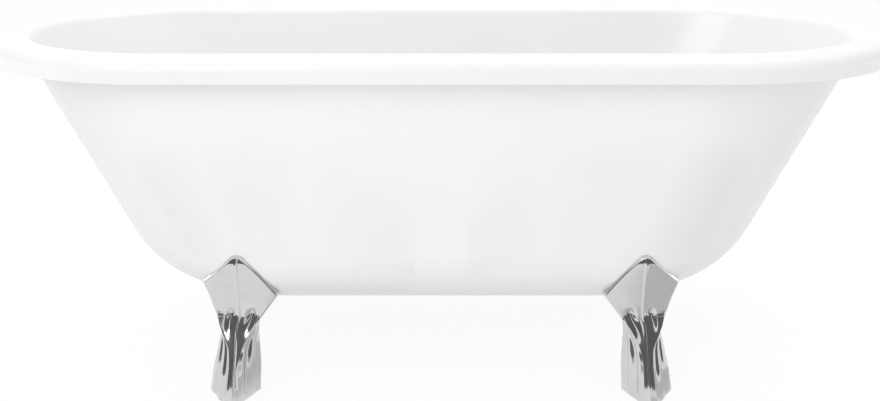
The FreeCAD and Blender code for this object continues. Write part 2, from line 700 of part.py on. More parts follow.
def shield_slab():
    """Block whose front is the shield's two creased faces, reaching a little below the ankle."""
    x0 = float(d.foot_place)
    floor = float(d.skin_floor)
    back = float(d.plate_depth) - foot_middle
    rows = []
    for height, inner, crease, outer in front_rows()[len(LEG) - 3:]:
        left, right = crease[0] - SHIELD_HALF_WIDTH, crease[0] + SHIELD_HALF_WIDTH
        rows.append((height, crease[0], *(-foot_middle - forward for forward in (
            along(crease, inner, left), crease[1], along(crease, outer, right)))))
    for above in SHIELD_ROWS:
        height = floor + above
        lean = NECK[-1][1] - CREASE_LEAN * (above - NECK[-1][0])
        fronts = [-skin_front(x0 + lean + across, height) - float(d.shield_thickness)
                  for across in (-SHIELD_HALF_WIDTH, 0, SHIELD_HALF_WIDTH)]
        rows.append((height, lean, fronts[0] + EDGE_BACK, fronts[1] - CREASE_PROUD,
                     fronts[2] + EDGE_BACK))
    sections = []
    for height, lean, inner, crease, outer in rows:
        left = x0 + lean - SHIELD_HALF_WIDTH
        right = x0 + lean + SHIELD_HALF_WIDTH
        sections.append(polygon([(left, inner), (x0 + lean, crease), (right, outer),
                                 (right, back), (left, back)], height))
    return Part.makeLoft(sections, True, False, False, CUBIC)


def make_foot():
    """The front foot at the +X end."""
    x0 = float(d.foot_place)
    z0 = float(shield_height)
    ankle = float(ankle_height)
    around = 2 * foot_middle
    corner = Vector(x0 - around, -2 * around, 0)
    outlines, hollows = leg_sections()
    below_ankle = Part.makeBox(2 * around, 2 * around, ankle, corner)
    above_ankle = Part.makeBox(2 * around, 2 * around, around, corner + Vector(0, 0, ankle))
    above_sole = Part.makeBox(2 * around, 2 * around, around, corner + Vector(0, 0, d.foot_sole))
    leg = Part.makeLoft(outlines, True, False, False, CUBIC).common(below_ankle)
    hollow = Part.makeLoft(hollows, True, False, False, CUBIC).common(above_sole)
    kite = rounded_loop([(Vector(x0 + x, -2 * around, z0 + z), rounding) for x, z, rounding in KITE])
    kite_block = Part.Face(kite).extrude(Vector(0, 2 * around, 0))
    lifted_skin = skin_solid(float(d.seat_gap)).translated(Vector(0, 0, d.seat_gap))
    shield = shield_slab().common(kite_block).common(above_ankle).cut(lifted_skin)
    rear = -foot_middle - LEG[-1][-1] - RECESS_BEHIND
    under_plate = Part.makeBox(around, around, float(plate_bottom) / 2,
                               Vector(x0 - around / 2, rear, float(plate_bottom) / 2))
    foot = leg.fuse(shield).cut([hollow, under_plate])
    spot = Vector(leveller_x, -leveller_y, 0)
    boss = Part.makeCylinder(d.leveller_boss, d.leveller_boss_top - d.foot_sole,
                             spot + Vector(0, 0, d.foot_sole))
    bore = Part.makeCylinder(d.leveller_radius + d.thread_gap, d.leveller_top, spot)
    recess = Part.makeCylinder(d.pad_radius + d.pad_gap, d.pad_height + d.pad_gap, spot)
    holes = [Part.makeCylinder(d.bolt_radius + d.bolt_clearance, 4 * d.foot_plate,
                               Vector(x, y, plate_bottom - d.foot_plate))
             for x, y in foot_bolt_places() if x > 0 and y < 0]
    return foot.fuse(boss).cut([bore, recess] + holes)


def foot_shapes():
    """The four feet: the modelled one and its mirror images, with their names."""
    front_right = make_foot()
    across_x = Vector(1, 0, 0)
    across_y = Vector(0, 1, 0)
    middle = Vector(0, 0, 0)
    front_left = front_right.mirror(middle, across_x)
    back_right = front_right.mirror(middle, across_y)
    back_left = back_right.mirror(middle, across_x)
    return {"front_right": front_right, "front_left": front_left,
            "back_right": back_right, "back_left": back_left}


CORNERS = {"front_right": (1, -1), "front_left": (-1, -1), "back_right": (1, 1), "back_left": (-1, 1)}


# ---------------------------------------------------------------- timber


def bearer(way):
    """Timber bearer across the skin floor, its ends scribed to the skin's curve."""
    side = "right" if way > 0 else "left"
    timber = box(f"bearer_{side}_timber", d.bearer_width, 2 * d.bearer_half_length, d.bearer_height,
                 way * d.foot_place - d.bearer_width / 2, -d.bearer_half_length, bearer_bottom)
    scribed = doc.addObject("Part::MultiCommon", f"bearer_{side}_scribed")
    scribed.Shapes = [timber, skin_inside]
    tools = []
    for step, (x, y) in enumerate(place for place in foot_bolt_places() if place[0] * way > 0):
        tools.append(cylinder(f"bearer_{side}_bolt_hole_{step}", d.bolt_radius + d.bolt_clearance,
                              d.bearer_height, x, y, bearer_bottom))
        tools.append(cylinder(f"bearer_{side}_counterbore_{step}", d.counterbore_radius,
                              d.counterbore_depth, x, y, board_bottom - d.counterbore_depth))
    for step, (x, y) in enumerate(place for place in board_screw_places() if place[0] * way > 0):
        tools.append(cylinder(f"bearer_{side}_pilot_{step}", d.board_screw_radius + d.thread_gap,
                              d.board_screw_length - d.board_thickness + OVERSHOOT, x, y,
                              board_top - d.board_screw_length - OVERSHOOT))
    keep(cut(f"bearer_{side}_drilled", scribed, tools), f"bearer_{side}")


def board_screw_places():
    spread = float(d.board_screw_spread)
    return [(way * float(d.foot_place), step * spread) for way in (-1, 1) for step in (-1, 0, 1)]


def stadium_body(label, half_length, half_width, bottom, height):
    """Flat body with the outline of two straight sides and two round ends."""
    body = doc.addObject("PartDesign::Body", label)
    plane = next(item for item in body.Origin.OriginFeatures if item.Role == "XY_Plane")
    sketch = body.newObject("Sketcher::SketchObject", f"{label}_outline")
    sketch.AttachmentSupport = [(plane, "")]
    sketch.MapMode = "FlatFace"
    bind(sketch, "AttachmentOffset.Base.z", bottom)
    stadium_loop(sketch, half_length, half_width)
    pad = body.newObject("PartDesign::Pad", f"{label}_pad")
    pad.Profile = sketch
    bind(pad, "Length", height)
    return body


def stadium_loop(sketch, half_length, half_width):
    """Adds a bound stadium outline round the origin to a sketch."""
    spine = half_length - half_width
    first = sketch.GeometryCount
    quarter = math.pi / 2
    spot, reach = float(spine), float(half_width)
    sketch.addGeometry(Part.LineSegment(Vector(-spot, -reach, 0), Vector(spot, -reach, 0)))
    right = Part.Circle(Vector(spot, 0, 0), Vector(0, 0, 1), reach)
    sketch.addGeometry(Part.ArcOfCircle(right, -quarter, quarter))
    sketch.addGeometry(Part.LineSegment(Vector(spot, reach, 0), Vector(-spot, reach, 0)))
    left = Part.Circle(Vector(-spot, 0, 0), Vector(0, 0, 1), reach)
    sketch.addGeometry(Part.ArcOfCircle(left, quarter, 3 * quarter))
    low, turn, high, back = (first + step for step in range(4))
    joints = ((low, 2, turn, 1), (high, 1, turn, 2), (high, 2, back, 1), (low, 1, back, 2))
    for line, start, arc, end in joints:
        sketch.addConstraint(Sketcher.Constraint("Tangent", line, start, arc, end))
    for arc in (turn, back):
        sketch.addConstraint(Sketcher.Constraint("PointOnObject", arc, 3, -1))
    sketch.addConstraint(Sketcher.Constraint("Horizontal", low))
    for arc, middle in ((turn, spine), (back, -spine)):
        number = sketch.addConstraint(Sketcher.Constraint("DistanceX", -1, 1, arc, 3, float(middle)))
        bind(sketch, f"Constraints[{number}]", middle)
    number = sketch.addConstraint(Sketcher.Constraint("Radius", turn, reach))
    bind(sketch, f"Constraints[{number}]", half_width)


def pocket(body, sketch_name, base, centres, radius):
    """Round holes right through a flat body, all from one sketch on its base plane."""
    plane = next(item for item in body.Origin.OriginFeatures if item.Role == "XY_Plane")
    sketch = body.newObject("Sketcher::SketchObject", sketch_name)
    sketch.AttachmentSupport = [(plane, "")]
    sketch.MapMode = "FlatFace"
    bind(sketch, "AttachmentOffset.Base.z", base)
    for x, y in centres:
        sketch.addGeometry(Part.Circle(Vector(x, y, 0), Vector(0, 0, 1), float(radius)))
        circle = sketch.GeometryCount - 1
        number = sketch.addConstraint(Sketcher.Constraint("Radius", circle, float(radius)))
        bind(sketch, f"Constraints[{number}]", radius)
        sketch.addConstraint(Sketcher.Constraint("Block", circle))
    hole = body.newObject("PartDesign::Pocket", f"{sketch_name}_cut")
    hole.Profile = sketch
    hole.Type = 1
    hole.Reversed = True
    return hole


# ---------------------------------------------------------------- the assembly

feature("inner_shell", make_inner_shell())
feature("outer_shell", make_outer_shell())

batten = stadium_body("rim_batten_plain", rim_spine + batten_outer, batten_outer,
                      flange_top, d.rim_height - d.shell_wall - flange_top)
stadium_loop(doc.getObject("rim_batten_plain_outline"), rim_spine + batten_inner, batten_inner)
doc.recompute()
pocket(batten, "batten_pilot_holes", flange_top, rim_screw_places(), d.rim_screw_radius + d.thread_gap)
keep(batten, "rim_batten")

board = stadium_body("base_board_plain", d.board_half_length, d.board_half_width, board_bottom,
                     d.board_thickness)
doc.recompute()
pocket(board, "board_waste_hole", board_bottom, [(0, 0)], d.board_waste_radius)
doc.recompute()
pocket(board, "board_screw_holes", board_bottom, board_screw_places(), d.board_screw_radius + d.thread_gap)
doc.recompute()
sinks = [cylinder(f"board_sink_{index}", d.board_screw_head + d.bolt_clearance,
                  d.screw_head_height + OVERSHOOT,
                  x, y, board_top - d.screw_head_height)
         for index, (x, y) in enumerate(board_screw_places())]
keep(cut("base_board_sunk", board, sinks), "base_board")

skin_inside = doc.addObject("Part::Feature", "skin_inside")
skin_inside.Shape = skin_solid(-float(d.skin_wall + d.seat_gap)).translated(Vector(0, 0, -d.seat_gap))
bearer(-1)
bearer(1)

for corner, shape in foot_shapes().items():
    feature(f"foot_{corner}", shape)

# Fasteners, each kind in one node.
rim_screw = turned("rim_screw_pattern", [
    (0, -d.screw_head_height), (d.rim_screw_head, -d.screw_head_height), (d.rim_screw_head, 0),
    (d.rim_screw_radius, 0), (d.rim_screw_radius, d.rim_screw_length),
    (0, d.rim_screw_length + d.screw_point)])
group("rim_screws", rim_screw, [at(x, y, flange_bottom) for x, y in rim_screw_places()])

board_screw = turned("board_screw_pattern", [
    (0, -d.board_screw_length), (d.board_screw_radius, d.screw_point - d.board_screw_length),
    (d.board_screw_radius, -d.screw_head_height), (d.board_screw_head, -d.screw_head_height),
    (d.board_screw_head, 0), (0, 0)])
group("board_screws", board_screw, [at(x, y, board_top) for x, y in board_screw_places()])

nut_seat = board_bottom - d.counterbore_depth
bolt_seat = plate_bottom - d.washer_thickness
bolt_length = nut_seat + d.washer_thickness + d.nut_height + d.bolt_end - bolt_seat
bolt = joined("foot_bolt_pattern", [hexagon("foot_bolt_head", d.bolt_flats, d.bolt_head, -d.bolt_head),
                                    cylinder("foot_bolt_shank", d.bolt_radius, bolt_length)])
group("foot_bolts", bolt, [at(x, y, bolt_seat) for x, y in foot_bolt_places()])
washer = cut("foot_washer_pattern", cylinder("foot_washer_disc", d.washer_radius, d.washer_thickness),
             [cylinder("foot_washer_hole", d.bolt_radius + d.thread_gap * 4, d.washer_thickness)])
group("foot_washers", washer, [at(x, y, height) for x, y in foot_bolt_places()
                               for height in (bolt_seat, nut_seat)])
nut = cut("foot_nut_pattern", hexagon("foot_nut_body", d.bolt_flats, d.nut_height),
          [cylinder("foot_nut_hole", d.bolt_radius + d.thread_gap, d.nut_height)])
group("foot_nuts", nut, [at(x, y, nut_seat + d.washer_thickness) for x, y in foot_bolt_places()])

# Levelling screws, their pads and lock nuts, one set in each foot.
for corner, (way, side) in CORNERS.items():
    x = way * leveller_x
    y = side * leveller_y
    socket_floor = d.pad_height - d.pad_socket
    screw = cylinder(f"leveller_screw_{corner}", d.leveller_radius, d.leveller_top - socket_floor,
                     x, y, socket_floor)
    keep(screw, f"leveller_screw_{corner}")
    pad = turned(f"leveller_pad_{corner}", [
        (0, 0), (d.pad_radius - d.pad_chamfer, 0), (d.pad_radius, d.pad_chamfer),
        (d.pad_radius, d.pad_height),
        (d.leveller_radius + d.thread_gap, d.pad_height),
        (d.leveller_radius + d.thread_gap, socket_floor), (0, socket_floor)])
    place(pad, x, y, 0)
    keep(pad, f"leveller_pad_{corner}")
locknut = cut("locknut_pattern", hexagon("locknut_body", d.locknut_flats, d.locknut_height),
              [cylinder("locknut_hole", d.leveller_radius + d.thread_gap, d.locknut_height)])
group("leveller_locknuts", locknut,
      [at(way * leveller_x, side * leveller_y, d.leveller_boss_top)
       for way, side in CORNERS.values()])

# ---------------------------------------------------------------- waste and plug

backnut_bottom = backnut_top - d.backnut_height
neck_bottom = backnut_bottom - d.tail_neck
neck_radius = d.waste_radius - d.tail_neck_depth
tail_end = neck_bottom - d.tail_length
cone_floor = waste_top - d.waste_cone_depth
slot_floor = ring_bottom + d.ring_wall + 2 * OVERSHOOT
spider_top = slot_floor - OVERSHOOT
spider_floor = spider_top - d.spider_height
cartridge_floor = spider_top
spring_floor = cartridge_floor + d.cartridge_base
collar_floor = spring_floor + d.spring_length
collar_top = collar_floor + d.stem_collar
cap_seat = waste_top + d.plug_lift
hub_floor = cap_seat - d.plug_hub_depth
stem_top = cap_seat - d.stem_shoulder
cartridge_top = hub_floor - d.cartridge_gap
lid_bottom = cartridge_top - d.cartridge_lid
cartridge_end = spider_floor - d.cartridge_end

waste_tube = turned("waste_tube", [
    (d.waste_bore, tail_end), (d.waste_radius, tail_end), (d.waste_radius, neck_bottom),
    (neck_radius, neck_bottom), (neck_radius, backnut_bottom), (d.waste_radius, backnut_bottom),
    (d.waste_radius, flange_seat), (d.waste_flange, flange_seat),
    (d.waste_flange, waste_top - d.flange_chamfer), (d.waste_flange - d.flange_chamfer, waste_top),
    (d.waste_cone, waste_top), (d.waste_bore, cone_floor)])
slots = [
    box("waste_slot_x", 4 * d.waste_radius, d.waste_slot_width, d.waste_slot_height,
        -2 * d.waste_radius, -d.waste_slot_width / 2, slot_floor),
    box("waste_slot_y", d.waste_slot_width, 4 * d.waste_radius, d.waste_slot_height,
        -d.waste_slot_width / 2, -2 * d.waste_radius, slot_floor),
]
arm_reach = d.waste_bore + OVERSHOOT
spider = cut("waste_spider", joined("waste_spider_arms", [
    box("waste_arm_x", 2 * arm_reach, d.spider_arm, d.spider_height,
        -arm_reach, -d.spider_arm / 2, spider_floor),
    box("waste_arm_y", d.spider_arm, 2 * arm_reach, d.spider_height,
        -d.spider_arm / 2, -arm_reach, spider_floor),
    cylinder("waste_hub", d.spider_hub, d.spider_height, 0, 0, spider_floor)]),
    [cylinder("waste_hub_bore", d.cartridge_stud + d.thread_gap, d.spider_height, 0, 0, spider_floor)])
slotted = cut("waste_slotted", waste_tube, slots)
keep(joined("waste_body_whole", [slotted, spider]), "waste_body")

gap = d.thread_gap
for label, radius, bottom, top in (
        ("waste_flange_seal", d.waste_flange - d.seal_inset, recess_floor, flange_seat),
        ("waste_lower_seal", d.ring_radius - d.seal_inset, ring_top, board_top),
        ("waste_washer", d.ring_radius - d.washer_inset, backnut_top, ring_bottom)):
    keep(turned(label, tube(d.waste_radius + gap, radius, bottom, top)), label)
backnut = cut("waste_backnut_cut", hexagon("waste_backnut_body", d.backnut_flats, d.backnut_height,
                                           backnut_bottom),
              [cylinder("waste_backnut_hole", d.waste_radius + gap, d.backnut_height, 0, 0,
                        backnut_bottom)])
keep(backnut, "waste_backnut")

ring_chamber = turned("overflow_ring_chamber", [
    (d.waste_radius + gap, ring_bottom), (d.ring_radius, ring_bottom), (d.ring_radius, ring_top),
    (d.waste_radius + gap, ring_top), (d.waste_radius + gap, ring_top - d.ring_wall),
    (d.ring_radius - d.ring_wall, ring_top - d.ring_wall),
    (d.ring_radius - d.ring_wall, ring_bottom + d.ring_wall),
    (d.waste_radius + gap, ring_bottom + d.ring_wall)])


def level_cylinder(name, radius, length, start, height):
    """Cylinder lying along -Y from a distance in front of the centre."""
    node = cylinder(name, radius, length, 0, -start, height)
    node.Placement.Rotation = Rotation(Vector(1, 0, 0), 90)
    return node


spigot_start = d.ring_radius - d.ring_wall / 2
spigot_out = d.ring_radius + d.spigot_shoulder
ring_spigot = level_cylinder("ring_spigot", d.hose_bore - gap, d.spigot_reach + spigot_out - spigot_start,
                             spigot_start, hose_height)
ring_spigot_bore = level_cylinder("ring_spigot_bore", d.spigot_bore, d.spigot_reach + d.ring_radius,
                                  d.ring_radius - d.ring_wall - 2 * OVERSHOOT, hose_height)
keep(cut("overflow_ring_bored", joined("overflow_ring_whole", [ring_chamber, ring_spigot]),
         [ring_spigot_bore]), "overflow_ring")

# The plug: cap, seal and stem rise together out of the cartridge, pushed by the spring.
keep(turned("plug_cap", [
    (d.stem_radius, hub_floor), (d.plug_hub, hub_floor), (d.plug_hub, cap_seat),
    (d.plug_radius, cap_seat), (d.plug_radius, cap_seat + d.plug_edge),
    (d.plug_radius - d.plug_chamfer, cap_seat + d.plug_edge + d.plug_chamfer),
    (0, cap_seat + d.plug_crown), (0, stem_top), (d.stem_radius, stem_top)]), "plug_cap")
seat_lean = float(d.waste_cone - d.waste_bore) / float(d.waste_cone_depth)
seal_radius = d.waste_cone - d.seat_gap
seal_floor = waste_top - d.plug_seal_depth
keep(turned("plug_seal", [
    (d.plug_hub, seal_floor), (seal_radius - d.plug_seal_depth * seat_lean, seal_floor),
    (seal_radius, waste_top), (seal_radius, cap_seat), (d.plug_hub, cap_seat)]), "plug_seal")
keep(turned("plug_stem", [
    (0, collar_floor), (d.cartridge_bore - gap, collar_floor), (d.cartridge_bore - gap, collar_top),
    (d.stem_radius, collar_top), (d.stem_radius, stem_top), (0, stem_top)]), "plug_stem")
keep(turned("plug_cartridge", [
    (0, cartridge_end), (d.cartridge_stud, cartridge_end), (d.cartridge_stud, cartridge_floor),
    (d.cartridge_radius, cartridge_floor), (d.cartridge_radius, cartridge_top),
    (d.stem_radius + gap, cartridge_top), (d.stem_radius + gap, lid_bottom),
    (d.cartridge_bore, lid_bottom), (d.cartridge_bore, spring_floor), (0, spring_floor)]), "plug_cartridge")


def make_spring():
    wire = float(d.spring_wire)
    radius = float(d.cartridge_bore - d.spring_gap) - wire
    start = float(spring_floor) + wire
    height = float(d.spring_length) - 2 * wire
    coil = Part.makeHelix(height / SPRING_TURNS, height, radius)
    section = Part.Wire(Part.makeCircle(wire, Vector(radius, 0, 0), Vector(0, 1, 0)))
    spring = Part.Wire(coil.Edges).makePipeShell([section], True, True)
    return spring.translated(Vector(0, 0, start))


feature("plug_spring", make_spring())

# ---------------------------------------------------------------- overflow

back_face = -(d.shell_wall + d.overflow_seal)
body_floor = back_face - d.overflow_depth
cup_floor = body_floor + d.overflow_wall
post_floor = cup_floor + d.overflow_post
post_radius = 2 * d.overflow_screw
cup_bore = d.overflow_hole - d.overflow_lip


def leaned(node):
    """Turns a piece made about Z to stand square on the basin's near wall."""
    node.Placement = overflow_place
    return node


front_ring = tube(d.overflow_hole + d.seal_inset, d.overflow_cover - d.seal_inset, 0, d.overflow_seal)
back_ring = tube(d.overflow_hole, d.overflow_body, back_face, -d.shell_wall)
keep(leaned(turned("overflow_front_seal", front_ring)), "overflow_front_seal")
keep(leaned(turned("overflow_back_seal", back_ring)), "overflow_back_seal")
cover_top = d.overflow_seal + d.overflow_rise
overflow_lid = turned("overflow_lid", [
    (d.overflow_screw + gap, cover_top - d.cover_wall),
    (d.overflow_cover - d.cover_chamfer - d.seal_inset, cover_top - d.cover_wall),
    (d.overflow_cover - d.cover_wall, d.overflow_seal), (d.overflow_cover, d.overflow_seal),
    (d.overflow_cover, cover_top - d.cover_chamfer), (d.overflow_cover - d.cover_chamfer, cover_top),
    (d.overflow_screw + gap, cover_top)])
water_slot = box("overflow_water_slot", d.overflow_slot, d.overflow_cover, d.overflow_rise / 2,
                 -d.overflow_slot / 2, d.overflow_hole, d.overflow_seal)
keep(leaned(cut("overflow_lid_slotted", overflow_lid, [water_slot])), "overflow_cover")
keep(leaned(turned("overflow_screw", [
    (0, post_floor + OVERSHOOT), (d.overflow_screw, post_floor + OVERSHOOT),
    (d.overflow_screw, cover_top), (post_radius, cover_top),
    (post_radius, cover_top + d.screw_head_height / 2),
    (post_radius - d.screw_head_height, cover_top + d.screw_head_height),
    (0, cover_top + d.screw_head_height)])),
     "overflow_screw")

hose_axis = body_floor + d.overflow_depth / 2
overflow_cup = turned("overflow_cup", [
    (0, body_floor), (d.overflow_body, body_floor), (d.overflow_body, back_face),
    (cup_bore, back_face), (cup_bore, cup_floor), (post_radius, cup_floor),
    (post_radius, back_face), (d.overflow_screw + gap, back_face),
    (d.overflow_screw + gap, post_floor), (0, post_floor)])
overflow_spigot = cylinder("overflow_spigot", d.hose_bore - gap,
                           d.overflow_body + d.spigot_shoulder + d.spigot_reach, 0, 0, hose_axis)
overflow_spigot.Placement.Rotation = Rotation(Vector(1, 0, 0), -90)
overflow_spigot_bore = cylinder("overflow_spigot_bore", d.spigot_bore, 2 * d.overflow_body + d.spigot_reach,
                                0, cup_bore - d.overflow_lip, hose_axis)
overflow_spigot_bore.Placement.Rotation = Rotation(Vector(1, 0, 0), -90)
cup_cavity = cylinder("overflow_cavity", cup_bore, d.overflow_depth, 0, 0, cup_floor)
spigot_clear = cut("overflow_spigot_trimmed", overflow_spigot, [cup_cavity])
overflow_body = cut("overflow_body_whole", joined("overflow_body_parts", [overflow_cup, spigot_clear]),
                    [overflow_spigot_bore])
keep(leaned(overflow_body), "overflow_body")


def hose_path():
    """Hose from the overflow down between the walls, then level to the waste."""
    normal = overflow_lean.multVec(Vector(0, 0, 1))
    down = overflow_lean.multVec(Vector(0, 1, 0))
    start = overflow_point + normal * float(hose_axis) + down * float(d.overflow_body + d.spigot_shoulder)
    level = float(hose_height)
    corner = start + down * ((start.z - level) / -down.z)
    turn = down.getAngle(Vector(0, 1, 0))
    bend = float(d.hose_bend)
    reach = bend * math.tan(turn / 2)
    arc_start = corner - down * reach
    arc_end = corner + Vector(0, reach, 0)
    end = Vector(0, -float(spigot_out), level)
    middle = corner + (Vector(0, 1, 0) - down).normalize() * (bend / math.cos(turn / 2) - bend)
    return start, arc_start, middle, arc_end, end


def make_hose():
    start, arc_start, middle, arc_end, end = hose_path()
    print(f"overflow hose bend radius {float(d.hose_bend):.0f} mm")
    path = Part.Wire([Part.LineSegment(start, arc_start).toShape(),
                      Part.Arc(arc_start, middle, arc_end).toShape(),
                      Part.LineSegment(arc_end, end).toShape()])
    along = (arc_start - start).normalize()
    rings = []
    for radius in (d.hose_radius, d.hose_bore):
        ring = Part.Wire(Part.makeCircle(float(radius), start, along))
        rings.append(path.makePipeShell([ring], True, False))
    print(f"overflow hose length {path.Length:.0f} mm")
    return rings[0].cut(rings[1])


feature("overflow_hose", make_hose())


def make_clip():
    """Hose clip about Z: a band and the housing of its worm screw."""
    inner = float(d.hose_radius + gap)
    band = Part.makeCylinder(inner + float(d.clip_band), d.clip_width)
    housing = Part.makeBox(d.clip_rise, d.clip_housing, d.clip_width, Vector(inner, -d.clip_housing / 2, 0))
    screw = Part.makeCylinder(d.clip_screw, d.clip_screw_length,
                              Vector(inner + d.clip_rise / 2, -d.clip_screw_length / 2, d.clip_width / 2),
                              Vector(0, 1, 0))
    return band.fuse([housing, screw]).cut(Part.makeCylinder(inner, d.clip_width))


def make_clips():
    start, arc_start, _, _, end = hose_path()
    down = (arc_start - start).normalize()
    clips = []
    outward = Vector(0, -1, 0)
    inset = float(d.clip_inset)
    for spot, way in ((start + down * inset, down), (end + outward * inset, outward)):
        clip = make_clip()
        clip.Placement = Placement(spot, Rotation(Vector(0, 0, 1), way))
        clips.append(clip)
    return Part.makeCompound(clips)


feature("hose_clips", make_clips())

# ---------------------------------------------------------------- checks and export

doc.recompute()
for node in doc.Objects:
    if "Invalid" in node.State or "Error" in node.State:
        raise RuntimeError(f"{node.Name} failed to build: {node.State}")
for node in kept:
    shape = node.Shape
    if shape.isNull() or not shape.isValid() or not shape.Solids:
        raise RuntimeError(f"{node.Label} has no valid solid")

os.makedirs("parts", exist_ok=True)
for node in kept:
    node.Shape.exportStep(f"parts/{node.Label}.step")
    print(f"{node.Label}: {len(node.Shape.Solids)} solid(s), {node.Shape.Volume / 1000:.1f} cm3")
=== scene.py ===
"""Finishes, feet and stage for the bath, around the frame of its solids."""

import json
import math

import bmesh
import bpy
import numpy as np
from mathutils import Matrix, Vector
from mathutils.bvhtree import BVHTree


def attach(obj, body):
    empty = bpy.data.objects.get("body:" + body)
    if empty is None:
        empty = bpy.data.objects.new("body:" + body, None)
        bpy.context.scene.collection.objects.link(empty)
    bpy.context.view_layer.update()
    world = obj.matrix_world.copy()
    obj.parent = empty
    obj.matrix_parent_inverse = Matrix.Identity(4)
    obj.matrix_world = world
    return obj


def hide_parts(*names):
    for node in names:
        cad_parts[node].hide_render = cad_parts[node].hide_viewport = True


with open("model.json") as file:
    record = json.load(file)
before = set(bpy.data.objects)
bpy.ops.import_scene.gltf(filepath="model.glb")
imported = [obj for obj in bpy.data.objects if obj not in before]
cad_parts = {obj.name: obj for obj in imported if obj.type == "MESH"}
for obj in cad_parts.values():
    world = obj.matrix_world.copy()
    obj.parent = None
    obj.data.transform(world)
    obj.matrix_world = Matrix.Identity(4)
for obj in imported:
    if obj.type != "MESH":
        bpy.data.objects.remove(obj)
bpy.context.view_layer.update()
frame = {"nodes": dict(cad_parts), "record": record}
nodes = frame["nodes"]


# ---------------------------------------------------------------- node helpers


class Surface:
    """A node material being built: makes nodes and joins their sockets."""

    def __init__(self, name):
        self.material = bpy.data.materials.new(name)
        self.material.use_nodes = True
        self.tree = self.material.node_tree
        self.tree.nodes.clear()
        self.output = self.make("ShaderNodeOutputMaterial")
        self.shader = self.make("ShaderNodeBsdfPrincipled")
        self.join(self.shader, "BSDF", self.output, "Surface")
        self.place = self.make("ShaderNodeTexCoord")

    def make(self, kind, **settings):
        node = self.tree.nodes.new(kind)
        for name, value in settings.items():
            setattr(node, name, value)
        return node

    def join(self, source, out, target, into):
        self.tree.links.new(source.outputs[out], target.inputs[into])

    def set(self, **values):
        for name, value in values.items():
            self.shader.inputs[name.replace("_", " ")].default_value = value

    def noise(self, scale, detail=4.0, roughness=0.55, stretch=(1, 1, 1)):
        mapping = self.make("ShaderNodeMapping")
        mapping.inputs["Scale"].default_value = stretch
        self.join(self.place, "Object", mapping, "Vector")
        noise = self.make("ShaderNodeTexNoise")
        noise.inputs["Scale"].default_value = scale
        noise.inputs["Detail"].default_value = detail
        noise.inputs["Roughness"].default_value = roughness
        self.join(mapping, "Vector", noise, "Vector")
        return noise

    def ramp(self, source, out, stops):
        ramp = self.make("ShaderNodeValToRGB")
        elements = ramp.color_ramp.elements
        while len(elements) < len(stops):
            elements.new(0.5)
        for element, (position, colour) in zip(elements, stops):
            element.position = position
            element.color = (*colour, 1)
        self.join(source, out, ramp, "Fac")
        return ramp

    def spread(self, source, out, low, high):
        """Maps a 0 to 1 value onto low to high."""
        scale = self.make("ShaderNodeMapRange")
        scale.inputs["To Min"].default_value = low
        scale.inputs["To Max"].default_value = high
        self.join(source, out, scale, "Value")
        return scale

    def bump(self, source, out, distance, strength=1.0, below=None):
        bump = self.make("ShaderNodeBump")
        bump.inputs["Distance"].default_value = distance
        bump.inputs["Strength"].default_value = strength
        self.join(source, out, bump, "Height")
        if below is not None:
            self.join(below, "Normal", bump, "Normal")
        return bump


def grey(level):
    return (level, level, level)


# ---------------------------------------------------------------- materials


def gloss_white(name, tone, roughness):
    """Polished moulded acrylic: faint mottling, a soft long wave and fine orange peel."""
    surface = Surface(name)
    surface.set(IOR=1.49)
    mottle = surface.noise(3.0, detail=6)
    pale = tuple(channel * 1.012 for channel in tone)
    dim = tuple(channel * 0.985 for channel in tone)
    colour = surface.ramp(mottle, "Fac", [(0.3, dim), (0.7, pale)])
    surface.join(colour, "Color", surface.shader, "Base Color")
    rough = surface.spread(surface.noise(14.0, detail=5), "Fac", roughness * 0.7, roughness * 1.4)
    surface.join(rough, "Result", surface.shader, "Roughness")
    wave = surface.bump(surface.noise(2.2, detail=1), "Fac", 0.0012)
    peel = surface.bump(surface.noise(420.0, detail=2), "Fac", 0.00002, below=wave)
    surface.join(peel, "Normal", surface.shader, "Normal")
    return surface.material


def chrome(name, tone, roughness):
    """Chrome plate over polished metal: soft waviness, faint smears and fine wipe marks."""
    surface = Surface(name)
    surface.set(Metallic=1.0)
    smear = surface.noise(26.0, detail=6, roughness=0.65, stretch=(1, 1, 0.5))
    dim = tuple(channel * 0.94 for channel in tone)
    colour = surface.ramp(smear, "Fac", [(0.35, dim), (0.6, tone)])
    surface.join(colour, "Color", surface.shader, "Base Color")
    rough = surface.spread(smear, "Fac", roughness * 0.6, roughness * 1.8)
    surface.join(rough, "Result", surface.shader, "Roughness")
    wave = surface.bump(surface.noise(12.0, detail=1), "Fac", 0.00005)
    marks = surface.noise(900.0, detail=2, stretch=(1, 1, 0.08))
    wipe = surface.bump(marks, "Fac", 0.0000015, below=wave)
    surface.join(wipe, "Normal", surface.shader, "Normal")
    return surface.material


def worked_metal(name, tone, roughness, grain):
    """Drawn, turned or plated metal with fine lines and mottled reflection."""
    surface = Surface(name)
    surface.set(Metallic=1.0)
    patch = surface.noise(90.0, detail=6)
    dim = tuple(channel * 0.86 for channel in tone)
    colour = surface.ramp(patch, "Fac", [(0.3, dim), (0.7, tone)])
    surface.join(colour, "Color", surface.shader, "Base Color")
    rough = surface.spread(patch, "Fac", roughness * 0.75, roughness * 1.3)
    surface.join(rough, "Result", surface.shader, "Roughness")
    lines = surface.bump(surface.noise(grain, detail=3, stretch=(1, 1, 12)), "Fac", 0.00001)
    surface.join(lines, "Normal", surface.shader, "Normal")
    return surface.material


